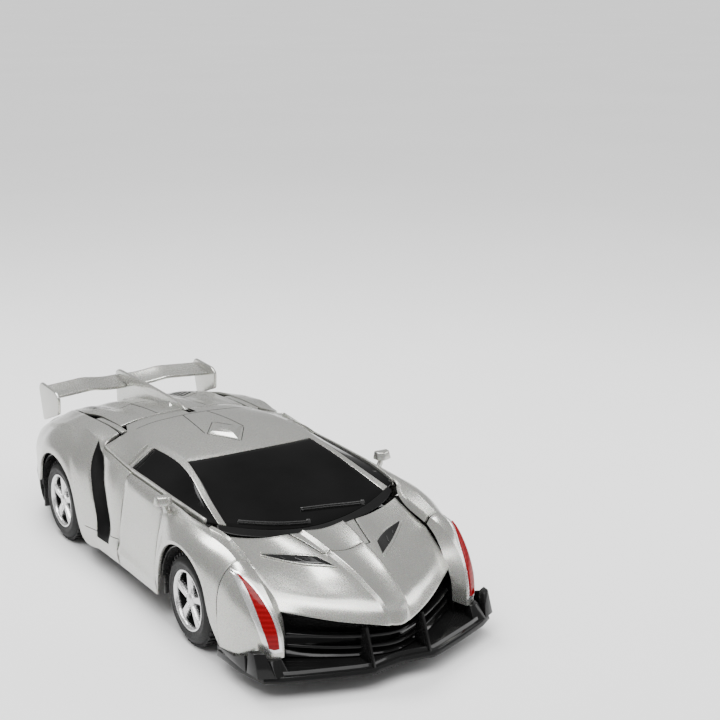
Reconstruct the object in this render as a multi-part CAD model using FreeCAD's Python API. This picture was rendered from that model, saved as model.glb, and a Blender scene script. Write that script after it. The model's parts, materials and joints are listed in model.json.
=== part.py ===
"""Transforming toy car: a sports-car body that stands up into a robot.

Millimetres, +Z up, nose towards -Y, origin on the ground under the middle of the car.
At rest every joint is at zero and the toy is a car.
"""
import FreeCAD
import Part
import math
import os

# ---------------------------------------------------------------- driving dimensions
FRONT_AXLE_Y = -60.0
REAR_AXLE_Y = 80.0
TYRE_R = 20.0
TYRE_IN = 40.0
TYRE_OUT = 57.0
RIM_R = 13.2
ARCH_R = 24.5
HIP_Y, HIP_Z = 74.0, 46.0          # hip axis, along X
CHEST_Y, CHEST_Z = -66.0, 28.0     # chest axis, along X
SHOULDER_X, SHOULDER_Y = 35.0, -84.0
ELBOW_Y = -42.0
ARM_Z0, ARM_Z1 = 30.0, 37.6
SKIN = 1.4                          # moulded wall
SHAFT_R = 1.5
RUN = 0.06                          # radial clearance of a running fit
HIP_PIN_R = 2.0
FLOOR_Z0, FLOOR_Z1 = 5.0, 7.5
FOOT_Y0, FOOT_DEPTH, FOOT_SLOPE = 74.0, 32.0, 24.0
FOOT_HALF, FOOT_Z0, FOOT_Z1 = 27.5, 8.0, 43.0
GEAR_MODULE = 0.8
AXLE_TEETH, IDLER_TEETH, PINION_TEETH = 30, 32, 12
GEAR_X0, GEAR_X1 = 30.0, 33.0
TRAIN_ANGLE = math.atan2(24.0, 35.0)
HIP_TEETH, HIP_PINION_TEETH = 20, 8
HIP_GEAR_X0, HIP_GEAR_X1 = 19.0, 22.0
HIP_PINION_ANGLE = math.radians(50.0)
HIP_SECTOR = (36.0, 66.0, 96.0, 126.0, 156.0)   # degrees, rest pose
SEAM_Y = 55.0                      # rear edge of the roof
SCREWS = ((20, 104), (34, 50), (34, 104))
SCREW_R, SCREW_SEAT_Z = 2.0, 6.4    # heads sunk in the floor
PLATE_IN, PLATE_OUT = 38.2, 39.6   # side plates inboard of the wheels

PARTS = "parts"


# ---------------------------------------------------------------- helpers
def vec(x, y, z):
    return FreeCAD.Vector(x, y, z)


def save(name, *shapes):
    solids = []
    for shape in shapes:
        solids.extend(shape.Solids)
    body = solids[0] if len(solids) == 1 else Part.makeCompound(solids)
    body.exportStep(os.path.join(PARTS, name + ".step"))


def flip(shape):
    return shape.mirror(vec(0, 0, 0), vec(1, 0, 0))


def both(shape):
    return shape, flip(shape)


def box(x0, x1, y0, y1, z0, z1):
    return Part.makeBox(x1 - x0, y1 - y0, z1 - z0, vec(x0, y0, z0))


def rod_x(y, z, r, x0, x1):
    return Part.makeCylinder(r, x1 - x0, vec(x0, y, z), vec(1, 0, 0))


def rod_z(x, y, r, z0, z1):
    return Part.makeCylinder(r, z1 - z0, vec(x, y, z0), vec(0, 0, 1))


def prism(points, step):
    wire = Part.makePolygon(points + [points[0]])
    return Part.Face(wire).extrude(step)


def prism_x(outline, x0, x1):
    return prism([vec(x0, y, z) for y, z in outline], vec(x1 - x0, 0, 0))


def prism_z(outline, z0, z1):
    return prism([vec(x, y, z0) for x, y in outline], vec(0, 0, z1 - z0))


def solid_of(triangles):
    faces = [Part.Face(Part.makePolygon([a, b, c, a])) for a, b, c in triangles]
    shell = Part.Shell(faces)
    shell.sewShape()
    solid = Part.makeSolid(shell)
    if solid.Volume < 0:
        solid.reverse()
    return solid


def surface_normals(grid, hint):
    rows, cols = len(grid), len(grid[0])
    normals = []
    for i in range(rows):
        line = []
        for j in range(cols):
            along = grid[min(i + 1, rows - 1)][j] - grid[max(i - 1, 0)][j]
            across = grid[i][min(j + 1, cols - 1)] - grid[i][max(j - 1, 0)]
            n = along.cross(across)
            n.normalize()
            line.append(n if n.dot(hint) > 0 else n * -1)
        normals.append(line)
    return normals


def panel(rows, hint, outer=0.0, inner=-SKIN, keep=None):
    """A moulded skin: the grid of points, thickened along its normals, open cells left out."""
    grid = [[vec(*p) for p in row] for row in rows]
    normals = surface_normals(grid, vec(*hint))
    top = [[p + n * outer for p, n in zip(gr, nr)] for gr, nr in zip(grid, normals)]
    low = [[p + n * inner for p, n in zip(gr, nr)] for gr, nr in zip(grid, normals)]
    cells = set()
    for i in range(len(grid) - 1):
        for j in range(len(grid[0]) - 1):
            if keep is None or keep(i, j):
                cells.add((i, j))
    triangles = []

    def quad(a, b, c, d):
        triangles.append((a, b, c))
        triangles.append((a, c, d))

    for i, j in cells:
        quad(top[i][j], top[i + 1][j], top[i + 1][j + 1], top[i][j + 1])
        quad(low[i][j], low[i + 1][j], low[i + 1][j + 1], low[i][j + 1])
        sides = (((i - 1, j), (i, j), (i, j + 1)), ((i + 1, j), (i + 1, j), (i + 1, j + 1)),
                 ((i, j - 1), (i, j), (i + 1, j)), ((i, j + 1), (i, j + 1), (i + 1, j + 1)))
        for neighbour, a, b in sides:
            if neighbour not in cells:
                quad(top[a[0]][a[1]], top[b[0]][b[1]], low[b[0]][b[1]], low[a[0]][a[1]])
    return solid_of(triangles)


def clip_y(shape, y0, y1):
    return shape.common(box(-70, 70, y0, y1, 0, 80))


def full(rows):
    """Rows given from the centre line outwards, completed to the other side."""
    return [[(-x, y, z) for x, y, z in reversed(row[1:])] + list(row) for row in rows]


def gear_x(y, z, teeth, x0, x1, tooth_at, bore, module=GEAR_MODULE):
    pitch_r = module * teeth / 2
    pitch = 2 * math.pi / teeth
    outline = []
    for k in range(teeth):
        centre = tooth_at + k * pitch
        for r, share in ((pitch_r - 1.2 * module, -0.27), (pitch_r + 0.8 * module, -0.1),
                         (pitch_r + 0.8 * module, 0.1), (pitch_r - 1.2 * module, 0.27)):
            angle = centre + share * pitch
            outline.append((y + r * math.cos(angle), z + r * math.sin(angle)))
    return prism_x(outline, x0, x1).cut(rod_x(y, z, bore, x0 - 1, x1 + 1))


def arch_z(y, axle_y):
    return TYRE_R + math.sqrt(max(ARCH_R ** 2 - (y - axle_y) ** 2, 0.0))


# ---------------------------------------------------------------- wheels
def tyre(axle_y):
    half = (TYRE_OUT - TYRE_IN) / 2
    x = TYRE_IN + half
    profile = [(-half, RIM_R), (-half, TYRE_R - 2.5), (-half + 1.8, TYRE_R - 0.4), (-half + 3.4, TYRE_R),
               (half - 3.4, TYRE_R), (half - 1.8, TYRE_R - 0.4), (half, TYRE_R - 2.5), (half, RIM_R)]
    wire = Part.makePolygon([vec(x + a, axle_y, TYRE_R + r) for a, r in profile + profile[:1]])
    return Part.Face(wire).revolve(vec(x, axle_y, TYRE_R), vec(1, 0, 0), 360)


def rim(axle_y, bore):
    barrel = rod_x(axle_y, TYRE_R, RIM_R, TYRE_IN + 0.5, TYRE_OUT - 0.4)
    barrel = barrel.cut(rod_x(axle_y, TYRE_R, RIM_R - 1.4, TYRE_IN, TYRE_OUT + 1))
    hub = rod_x(axle_y, TYRE_R, 4.0, 44.0, TYRE_OUT - 1.0)
    wheel = barrel.fuse(hub)
    for k in range(5):
        spoke = box(TYRE_OUT - 4.4, TYRE_OUT - 2.0, axle_y - 1.9, axle_y + 1.9, TYRE_R + 2.0,
                    TYRE_R + RIM_R - 0.7)
        spoke.rotate(vec(0, axle_y, TYRE_R), vec(1, 0, 0), 72 * k)
        wheel = wheel.fuse(spoke)
    return wheel.cut(rod_x(axle_y, TYRE_R, bore, TYRE_IN - 1, TYRE_OUT - 3.0))


def idler_centre():
    reach = GEAR_MODULE * (AXLE_TEETH + IDLER_TEETH) / 2
    return REAR_AXLE_Y + reach * math.cos(TRAIN_ANGLE), TYRE_R + reach * math.sin(TRAIN_ANGLE)


def motor_centre():
    reach = GEAR_MODULE * (AXLE_TEETH / 2 + IDLER_TEETH + PINION_TEETH / 2)
    return REAR_AXLE_Y + reach * math.cos(TRAIN_ANGLE), TYRE_R + reach * math.sin(TRAIN_ANGLE)


def hip_pinion_centre():
    reach = GEAR_MODULE * (HIP_TEETH + HIP_PINION_TEETH) / 2
    return HIP_Y + reach * math.cos(HIP_PINION_ANGLE), HIP_Z + reach * math.sin(HIP_PINION_ANGLE)


def wheels_and_train():
    for name, turn in (("left", lambda s: s), ("right", flip)):
        save("rear_tyre_" + name, turn(tyre(REAR_AXLE_Y)))
        save("rear_rim_" + name, turn(rim(REAR_AXLE_Y, SHAFT_R)))
        save("front_tyre_" + name, turn(tyre(FRONT_AXLE_Y)))
        save("front_rim_" + name, turn(rim(FRONT_AXLE_Y, SHAFT_R + RUN)))
        shaft = rod_x(REAR_AXLE_Y, TYRE_R, SHAFT_R, GEAR_X0 - 0.4, 53.0)
        gear = gear_x(REAR_AXLE_Y, TYRE_R, AXLE_TEETH, GEAR_X0, GEAR_X1, TRAIN_ANGLE, 0.5)
        save("rear_axle_" + name, turn(shaft.fuse(gear)))
        y, z = idler_centre()
        half_pitch = math.pi / IDLER_TEETH
        idler = gear_x(y, z, IDLER_TEETH, GEAR_X0, GEAR_X1, TRAIN_ANGLE + math.pi + half_pitch,
                       SHAFT_R + RUN)
        save("idler_gear_" + name, turn(idler))
        y, z = motor_centre()
        pinion = gear_x(y, z, PINION_TEETH, GEAR_X0, GEAR_X1, TRAIN_ANGLE + math.pi, 1.0 + RUN)
        save("motor_pinion_" + name, turn(pinion))


# ---------------------------------------------------------------- rear half (stays on the ground)
def chassis_tub():
    floor = box(-47, 47, 14, 132, FLOOR_Z0, FLOOR_Z1)
    for side in both(box(TYRE_IN - 0.4, 50, REAR_AXLE_Y - 23, REAR_AXLE_Y + 23, 0, 12)):
        floor = floor.cut(side)
    floor = floor.cut(box(-46, 46, 107.0, 131.0, 0, 12))
    floor = floor.cut(box(33.0, 45.0, 33.0, 39.0, 0, 12))
    for side in both(box(GEAR_X0 - 0.5, GEAR_X1 + 0.5, REAR_AXLE_Y - 8, REAR_AXLE_Y + 8, 0, 12)):
        floor = floor.cut(side)
    plate = prism_x([(60, FLOOR_Z1 - 0.5), (105, FLOOR_Z1 - 0.5), (107, 21), (128, 21), (128, 40),
                     (104, 50), (84, 52),
                     (66, 52), (60, 40)], PLATE_IN, PLATE_OUT)
    idler_y, idler_z = idler_centre()
    plate = plate.fuse(rod_x(idler_y, idler_z, SHAFT_R, GEAR_X0 - 0.6, PLATE_IN + 0.5))
    plate = plate.cut(rod_x(REAR_AXLE_Y, TYRE_R, SHAFT_R + RUN, 30, 45))
    plate = plate.cut(rod_x(HIP_Y, HIP_Z, HIP_PIN_R, 30, 45))
    tub = floor
    for x, y in SCREWS:
        for side in both(rod_z(x, y, SCREW_R + 0.2, FLOOR_Z0, SCREW_SEAT_Z)):
            tub = tub.cut(side)
    for side in both(plate):
        tub = tub.fuse(side)
    for side in both(box(FOOT_HALF + 0.3, FOOT_HALF + 1.3, 26, 106, FLOOR_Z1 - 0.5, 10.5)):
        tub = tub.fuse(side)
    for side in both(box(34, PLATE_IN + 0.2, 126, 127.4, 21.5, 36)):
        tub = tub.fuse(side)
    return tub


def quarter_rows():
    """Haunch and side of the rear body, bottom lip first, one row per station towards the tail."""
    y5, y7 = REAR_AXLE_Y - 18, REAR_AXLE_Y + 18
    return [
        [(57.2, 8.6, 12.0), (57.6, 8.6, 22), (55.2, 8.6, 38), (53.4, 8.6, 46), (51.6, 8.6, 53.6),
         (51.4, 8.6, 54)],
        [(57.4, 20, 11.9), (56.8, 21, 22), (54.8, 27, 38), (53.0, 33, 47), (51.8, 38, 54.6),
         (51.5, 38.4, 55)],
        [(57.4, 26, 11.8), (52.8, 27, 24), (51.0, 33, 38), (50.0, 40, 47), (48.0, 46, 55.8),
         (47.6, 46.4, 56.2)],
        [(57.5, 33, 11.6), (57.6, 32, 22), (56.5, 39, 38), (53.5, 47, 49), (47.5, 56, 58.8),
         (38.6, 48, 60.8)],
        [(58.0, 52, 11.5), (58.3, 53, 22), (58.3, 55, 36), (55.0, 60, 50), (47.0, 64, 59.4),
         (38.6, 64, 60.6)],
        [(59.0, y5, arch_z(y5, REAR_AXLE_Y)), (59.0, 63, 40), (58.0, 65, 45.5), (54.6, 68, 53),
         (46.0, 72, 58.8),
         (38.6, 72, 60.2)],
        [(59.5, REAR_AXLE_Y, arch_z(REAR_AXLE_Y, REAR_AXLE_Y)), (59.3, 80, 46.5), (58.0, 80, 49.5),
         (54.0, 82, 54),
         (45.0, 84, 57.5), (38.6, 84, 59.2)],
        [(59.0, y7, arch_z(y7, REAR_AXLE_Y)), (58.8, 98, 41), (57.0, 98, 46), (52.0, 98, 52),
         (44.0, 98, 55.2),
         (36.0, 98, 57.2)],
        [(58.0, 104.4, 24), (57.0, 106, 33), (56.0, 107, 41.5), (51.0, 108, 48.5), (43.0, 110, 52.2),
         (34.0, 110, 55)],
        [(52.5, 121, 30), (52.5, 122, 35), (51.0, 122, 40.5), (47.0, 122, 45.5), (41.0, 122, 49),
         (32.0, 122, 52)],
        [(46.0, 134, 31), (46.0, 134.5, 35), (45.5, 134.5, 38.5), (42.0, 134, 42.5), (37.0, 133, 45.6),
         (30.0, 132.5, 48)],
    ]


def quarter():
    def keep(i, j):
        return not (j == 4 and i < 3)
    return clip_y(panel(quarter_rows(), (1, 0, 0.6), keep=keep), 8.6, 140)


def deck_rows():
    """Engine cover from the roof seam to the tail, centre line outwards."""
    return [
        [(0, 57, 64.2), (12, 57, 63.8), (24, 57, 62.8), (32.2, 57, 60.9)],
        [(0, 70, 62.9), (12, 70, 62.5), (24, 70, 61.6), (32.4, 70, 60.4)],
        [(0, 84, 61.0), (12, 84, 60.6), (24, 84, 60.0), (32.6, 84, 59.4)],
        [(0, 98, 58.6), (12, 98, 58.4), (24, 98, 58.0), (34.6, 98, 57.4)],
        [(0, 110, 56.2), (12, 110, 56.0), (24, 110, 55.8), (32.8, 110, 55.2)],
        [(0, 122, 52.6), (12, 122, 52.6), (24, 122, 52.4), (30.8, 122, 52.0)],
        [(0, 132.5, 48.4), (12, 132.5, 48.4), (24, 132.5, 48.2), (28.8, 132.5, 48.0)],
    ]


def engine_deck():
    deck = panel(full(deck_rows()), (0, 0, 1))
    fin = prism_x([(52, 64.6), (56, 66.0), (62, 66.6), (100, 67.0), (136, 66.0), (136.5, 46), (132, 47.4),
                   (122, 51.6),
                   (98, 57.6), (84, 60.0), (58, 63.2)], -0.9, 0.9)
    return deck.fuse(fin)


def rear_wing():
    """Two blades that meet the fin, with an end plate at each tip."""
    rows = []
    for y, lift in ((120.0, 0.0), (127.0, 1.0), (133.0, 2.6)):
        rows.append([(1.1, y + 3, 61.0 + lift), (12, y + 1, 61.6 + lift), (21, y, 62.6 + lift),
                     (43.2, y - 4, 63.2 + lift)])
    blade = panel(rows, (0, 0, 1), inner=-1.6)
    plate = prism_x([(108, 52.6), (108.5, 65), (132.5, 66.2), (134.5, 64), (130.5, 46), (122, 49.8)], 43.4,
                    45.2)
    return both(blade) + both(plate)


def rear_bumper():
    """Black lower tail with diffuser ribs."""
    rows = [
        [(0, 137.0, 30.6), (24, 136.8, 30.6), (45.2, 134.2, 30.4), (51.0, 122.5, 30.0), (56.2, 107, 22)],
        [(0, 138.0, 22), (24, 137.6, 22), (46, 135, 22), (52, 122, 21), (56.4, 107, 18)],
        [(0, 136.0, 10), (24, 135.6, 10), (45, 133.6, 10.4), (51, 121, 11), (55.6, 107, 12)],
    ]
    return panel(full(rows), (0, 1, 0), inner=-1.5)


def tail_panel_and_lamps():
    rows = [
        [(0, 134.6, 47.8), (26, 134.4, 47.6), (37.4, 134.9, 45.0)],
        [(0, 137.0, 39), (26, 136.8, 38.8), (45.6, 135.6, 38.0)],
        [(0, 136.8, 31.2), (26, 136.6, 31.2), (45.8, 135.5, 31.2)],
    ]
    face = panel(full(rows), (0, 1, 0), inner=-1.2)
    lamp = panel([[(28, 136.9, 41.5), (42, 135.8, 39.6)], [(28, 137.0, 37.5), (43, 135.9, 35.6)]],
                 (0, 1, 0), 1.2, 0.25)
    return face, both(lamp)


def rear_half():
    save("rear_chassis_tub", chassis_tub())
    save("rear_quarter_left", quarter())
    save("rear_quarter_right", flip(quarter()))
    tail_face, lamps = tail_panel_and_lamps()
    save("engine_deck", engine_deck(), tail_face)
    save("tail_lamps", *lamps)
    save("rear_wing", *rear_wing())
    save("rear_bumper", rear_bumper())
    y, z = motor_centre()
    can = box(3, 28, y - 7.5, y + 7.5, z - 6.5, z + 6.0).fuse(rod_x(y, z, 1.0, 28, GEAR_X1 + 0.5))
    save("drive_motors", *both(can))
    cells = []
    for y in (113.5, 124.6):
        cells.extend(both(rod_x(y, 13.6, 5.2, 1.0, 45.0)))
    save("battery_cells", *cells)
    save("battery_cover", box(-45.8, 45.8, 107.2, 130.8, FLOOR_Z0, FLOOR_Z0 + 2.0))
    save("circuit_board", box(-28, 28, 109, 130, 24.0, 25.6))
    y, z = hip_pinion_centre()
    motor = box(-8, 17, y - 6, y + 6, z - 5, z + 3.6).fuse(rod_x(y, z, 0.9, 17, HIP_GEAR_X1 + 0.6))
    save("hip_motor", motor)
    save("hip_pinion", gear_x(y, z, HIP_PINION_TEETH, HIP_GEAR_X0, HIP_GEAR_X1, HIP_PINION_ANGLE + math.pi,
                              0.9 + RUN))
    save("hip_pin", rod_x(HIP_Y, HIP_Z, HIP_PIN_R, -PLATE_OUT, PLATE_OUT))
    screws = []
    for x, y in SCREWS:
        screws.extend(both(rod_z(x, y, SCREW_R, SCREW_SEAT_Z - 1.1, SCREW_SEAT_Z)))
    save("chassis_screws", *screws)
    knob = box(34.0, 39.0, 34.0, 38.0, FLOOR_Z0 - 2.0, FLOOR_Z1 + 0.4)
    save("power_switch", knob)


# ---------------------------------------------------------------- foot block
def foot():
    y0, y1 = FOOT_Y0, FOOT_Y0 + FOOT_DEPTH
    outer = prism_x([(y0, FOOT_Z0), (y1, FOOT_Z0), (y1, FOOT_Z1), (y0 + FOOT_SLOPE, FOOT_Z1)], -FOOT_HALF,
                    FOOT_HALF)
    inner = prism_x([(y0 + 4, FOOT_Z0 - 1), (y1 + 1, FOOT_Z0 - 1), (y1 + 1, FOOT_Z1 - 2.5),
                     (y0 + FOOT_SLOPE + 2, FOOT_Z1 - 2.5),
                     (y0 + 4, FOOT_Z0 + 2)], -FOOT_HALF + 2, FOOT_HALF - 2)
    save("foot_block", outer.cut(inner))
    tilt = math.atan2(FOOT_Z1 - FOOT_Z0, FOOT_SLOPE)

    def on_face(along, out):
        y = y0 + along * math.cos(tilt) - out * math.sin(tilt)
        z = FOOT_Z0 + along * math.sin(tilt) + out * math.cos(tilt)
        return y, z

    def slab(x0, x1, s0, s1, height):
        outline = [on_face(s0, 0.05), on_face(s1, 0.05), on_face(s1, height), on_face(s0, height)]
        return prism_x(outline, x0, x1)

    pieces = [slab(-5.5, 5.5, 7, 22, 3.0)]
    for x0, x1, s0, s1, height in ((12, 14.5, 6, 28, 1.6), (20, 22.5, 6, 28, 1.6), (7, 11.4, 8, 18, 2.0)):
        pieces.extend(both(slab(x0, x1, s0, s1, height)))
    for k in range(3):
        pieces.extend(both(slab(9, 25, 32 + 3 * k, 34.2 + 3 * k, 1.2)))
    save("foot_relief", *pieces)


# ---------------------------------------------------------------- torso (roof, windows and robot body)
def cabin_rows():
    """Windscreen, roof and side glass from cowl to roof seam, centre line outwards."""
    return [
        [(0, -71, 45.6), (14, -70, 46.4), (28, -67, 48.4), (39, -62.8, 50.8), (42, -61.6, 51.6),
         (46.2, -59, 52.8)],
        [(0, -48, 54.0), (13.5, -47.6, 54.2), (27, -45.5, 54.8), (36.4, -43, 55.8), (39.2, -42, 56.0),
         (48.0, -39, 54.2)],
        [(0, -28, 59.8), (12.5, -27.8, 59.8), (25, -26.4, 60), (33.4, -25, 60.4), (36.2, -24, 60.4),
         (48.4, -20, 54.6)],
        [(0, -14, 63.0), (12, -13.8, 62.9), (24, -13, 62.7), (31.6, -12, 62.6), (35.2, -11, 62.2),
         (48.4, -6, 54.8)],
        [(0, 12, 65.2), (12, 12, 65.0), (24, 12, 64.6), (33, 12, 64.0), (36.6, 12, 63.0), (47.6, 12, 54.9)],
        [(0, 28, 65.8), (12, 28, 65.5), (24, 28, 64.8), (33.4, 27, 63.4), (37.2, 25, 62.2),
         (45.6, 23, 55.0)],
        [(0, SEAM_Y, 64.6), (12, SEAM_Y, 64.2), (24, SEAM_Y, 63.1), (31.2, SEAM_Y - 0.4, 61.4),
         (33.2, 44, 60.9),
         (44.8, 41, 57.6)],
    ]


def cabin():
    rows = full(cabin_rows())
    last = len(rows[0]) - 2

    def is_screen(i, j):
        return i < 3 and 2 <= j <= last - 2

    def is_side_glass(i, j):
        return i < 5 and j in (0, last)

    roof = panel(rows, (0, 0, 1), keep=lambda i, j: not is_screen(i, j) and not is_side_glass(i, j))
    scoop = prism_x([(3, 64.2), (12, 67.0), (24, 64.8)], -9,
                    9).common(prism_z([(0, 2), (9, 13), (0, 24), (-9, 13)], 60, 70))
    fin_notch = box(-1.5, 1.5, SEAM_Y - 7.5, SEAM_Y + 2, 55, 70)
    save("roof_shell", roof.fuse(scoop).cut(fin_notch))
    save("windshield", panel(rows, (0, 0, 1), keep=is_screen))
    save("side_windows", panel(rows, (0, 0, 1), keep=lambda i, j: i < 5 and j == 0),
         panel(rows, (0, 0, 1), keep=lambda i, j: i < 5 and j == last))


def torso_frame():
    spine = box(-32, 32, -36, 38, 27, 30)
    frame = spine
    for x0, x1, y0, y1, z0, z1 in ((30, 32, -36, 38, 19, 50), (24, 28, -71, -34, 20, 35),
                                   (24, 32, -38, -34, 20, 35)):
        for side in both(box(x0, x1, y0, y1, z0, z1)):
            frame = frame.fuse(side)
    arm = prism_x([(20, 44), (60, 39.5), (70, 38.8), (78, 39.8), (81, 46), (78, 52.2), (70, 53.2), (60, 54),
                   (20, 56)], 34, 37)
    arm = arm.fuse(box(31, 35, 20, 37, 45, 50))
    for side in both(arm):
        frame = frame.fuse(side)
    for side in both(box(31, 46, -20, 16, 50, 51.5)):
        frame = frame.fuse(side)
    for side in both(box(29, 31, -8, 30, 49, 60)):
        frame = frame.fuse(side)
    frame = frame.cut(rod_x(CHEST_Y, CHEST_Z, SHAFT_R + RUN, -40, 40))
    return frame.cut(rod_x(HIP_Y, HIP_Z, HIP_PIN_R + RUN, -40, 40))


def hip_sector():
    """Toothed sector above the hip pin, tied to the left hip arm."""
    bore = HIP_PIN_R + RUN
    gear = gear_x(HIP_Y, HIP_Z, HIP_TEETH, HIP_GEAR_X0, HIP_GEAR_X1, HIP_PINION_ANGLE + math.pi / HIP_TEETH,
                  bore)
    rim_points = [(HIP_Y + 14 * math.cos(math.radians(a)),
                   HIP_Z + 14 * math.sin(math.radians(a))) for a in HIP_SECTOR]
    gear = gear.common(prism_x([(HIP_Y, HIP_Z)] + rim_points, HIP_GEAR_X0, HIP_GEAR_X1))
    sleeve = rod_x(HIP_Y, HIP_Z, 2.8, HIP_GEAR_X0, 33.95)
    return gear.fuse(sleeve).cut(rod_x(HIP_Y, HIP_Z, bore, 5, 40))


RIB_Y = (-27.0, -11.0, 3.0)
RIB_OUT = (38.0, 35.5, 33.5)
RIB_HALF = (6.2, 5.6, 5.2)


def rib_outline(y, out, half, grow):
    return [(10 - grow, y - half * 0.4), (12 - grow, y - half - grow), (out - 8, y - half - grow),
            (out + grow, y - 1),
            (out - 9, y + half + grow), (11 - grow, y + half + grow), (14 - grow * 0.4, y + 1)]


def tilted_bar(cx, cy, length, width, degrees, z0, z1):
    bar = box(-length / 2, length / 2, -width / 2, width / 2, z0, z1)
    bar.rotate(vec(0, 0, 0), vec(0, 0, 1), degrees)
    bar.translate(vec(cx, cy, 0))
    return bar


def torso_front():
    cover = box(-29.5, 29.5, -35, 36, 17.5, 19)
    cover = cover.fuse(prism_z([(-8, -35), (8, -35), (6, -8), (7, 12), (-7, 12), (-6, -8)], 15.2, 18))
    cover = cover.fuse(box(-7.4, 7.4, 12, 34, 14.6, 18))
    for y, out, half in zip(RIB_Y, RIB_OUT, RIB_HALF):
        base = prism_z([(8, y - half - 1.6), (out - 6, y - half - 1.6), (out + 1.8, y - 1),
                        (out - 7, y + half + 1.6),
                        (8, y + half + 1.6)], 15.4, 18)
        for side in both(base):
            cover = cover.fuse(side)
    guard = tilted_bar(20, 19, 25, 13.5, 16, 14.6, 18)
    for side in both(guard):
        cover = cover.fuse(side)
    silver, gold, knobs = [], [], []
    for y, out, half in zip(RIB_Y, RIB_OUT, RIB_HALF):
        gold.extend(both(prism_z(rib_outline(y, out, half, 0.0), 14.4, 15.35)))
        silver.extend(both(prism_z(rib_outline(y, out - 1.6, half - 1.0, -0.9), 13.4, 14.35)))
        knobs.extend(both(rod_z(19, y - 0.4, 1.9, 12.4, 13.35)))
    frame = tilted_bar(19.5, 18.5, 19, 9.2, 16, 13.0, 14.55).cut(tilted_bar(19.5, 18.5, 14, 4.4, 16, 12,
        15))
    gold.extend(both(frame))
    gold.append(prism_z([(-7, 22), (-7, 27), (0, 33), (7, 27), (7, 22), (0, 28)], 13.6, 14.55))
    silver.append(prism_z([(-4.6, 13.5), (4.6, 13.5), (4.0, 22), (0, 26.4), (-4.0, 22)], 13.6, 14.55))
    silver.extend(both(prism_z([(17.6, 29.4), (31, 24.6), (31.6, 28.6), (19.0, 33.2)], 13.7, 14.55)))
    leg = prism_z([(12, 36.5), (27, 34.5), (29, 42), (28, 52), (29, 60), (28, 70), (13, 70), (12, 52)],
                  19.4, 26)
    leg = leg.fuse(box(14, 26, 30, 40, 19.4, 26.9))
    for side in both(leg):
        side_plate = prism_z([(14.2, 41), (20, 38), (26.5, 41), (26, 52.5), (14.6, 52.5)], 17.9, 19.35)
        silver.append(side_plate if side.BoundBox.XMax > 0 else flip(side_plate))
    bars = []
    for y0, y1 in ((54.5, 61.0), (63.0, 66.4)):
        bars.extend(both(box(14.8, 26.4, y0, y1, 18.1, 19.35)))
    save("torso_front_cover", cover, *knobs)
    save("silver_trim", *silver)
    save("gold_trim", *gold)
    save("leg_covers", *both(leg))
    save("copper_bars", *bars)


def torso():
    save("torso_frame", torso_frame())
    cabin()
    torso_front()
    save("hip_gear", hip_sector())


# ---------------------------------------------------------------- head
def head():
    rows = [
        [(0, -94.6, 42.6), (5.5, -94.2, 43.0), (11.0, -94.2, 42.6)],
        [(0, -84, 44.4), (6.5, -84, 44.9), (13.4, -84, 43.6)],
        [(0, -74.6, 45.4), (7.5, -73.8, 45.9), (15.6, -73.2, 45.4)],
    ]
    flap = panel(full(rows), (0, 0, 1))
    stem = box(-2, 2, -79, -72, 29.5, 43.4)
    save("cowl_flap", flap, stem.cut(flap))
    neck = box(-4.5, 4.5, -62, -36, 17.0, 25.0)
    for k in range(5):
        neck = neck.fuse(box(-5.6, 5.6, -61 + 2.4 * k, -59.8 + 2.4 * k, 16.4, 25.4))
    helmet = prism_z([(-7.5, -61), (-8.5, -67), (-7.5, -75), (-4, -79.5), (4, -79.5), (7.5, -75),
                      (8.5, -67), (7.5, -61)],
                     18.2, 29.4)
    for side in both(rod_x(-69, 23.5, 3.2, 8.0, 9.8)):
        helmet = helmet.fuse(side)
    save("head_helmet", helmet.fuse(neck))
    save("head_face", prism_z([(-4.6, -62), (-5.8, -68), (-5.2, -74), (5.2, -74), (5.8, -68), (4.6, -62)],
                              14.6, 18.1))


# ---------------------------------------------------------------- chest (bonnet and nose)
def hood_rows():
    """Bonnet from the nose edge to the cowl, centre line outwards; the third column edges the notch."""
    return [
        [(0, -135, 25.0), (6, -133.2, 25.6), (11.4, -131, 26.0), (22, -124.5, 27.2), (33, -116.5, 29.2),
         (40, -111.4, 31.0)],
        [(0, -131.5, 30.0), (6, -130, 30.8), (11.4, -127, 31.2), (22, -120, 32.6), (33, -112, 34.2),
         (40.2, -106, 35.6)],
        [(0, -118, 37.0), (6, -117, 37.8), (11.4, -115, 37.0), (22, -109, 37.4), (33, -103, 39.2),
         (41, -98, 39.6)],
        [(0, -95.2, 42.4), (6, -94.9, 42.8), (11.8, -94.9, 42.2), (22, -94.5, 40.8), (33, -93, 42.0),
         (42, -91.4, 42.2)],
        [(0, -84, 44.2), (7.2, -84, 44.7), (14.2, -84, 43.4), (24, -83.5, 42.2), (34, -82, 44.0),
         (42, -80, 44.6)],
        [(0, -75, 45.2), (8, -75, 45.6), (16.6, -74.4, 45.2), (26, -71.6, 45.4), (35, -69.2, 46.6),
         (42, -67.2, 47.8)],
    ]


def hood():
    rows = full(hood_rows())
    middle = len(hood_rows()[0]) - 1

    def keep(i, j):
        return i < 3 or not middle - 2 <= j < middle + 2
    return panel(rows, (0, 0, 1), keep=keep)


def grille():
    rows = [
        [(0, -132.6, 23.2), (14, -127.2, 24.2), (28, -118.4, 26.0), (38.4, -110.2, 28.6)],
        [(0, -127, 18), (14, -123, 18), (28, -115.5, 18), (38.4, -109.4, 18)],
        [(0, -130, 11.8), (14, -126.5, 11.8), (28, -119, 11.8), (38.4, -112, 11.8)],
    ]
    return panel(full(rows), (0, -1, 0), inner=-1.6)


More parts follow.
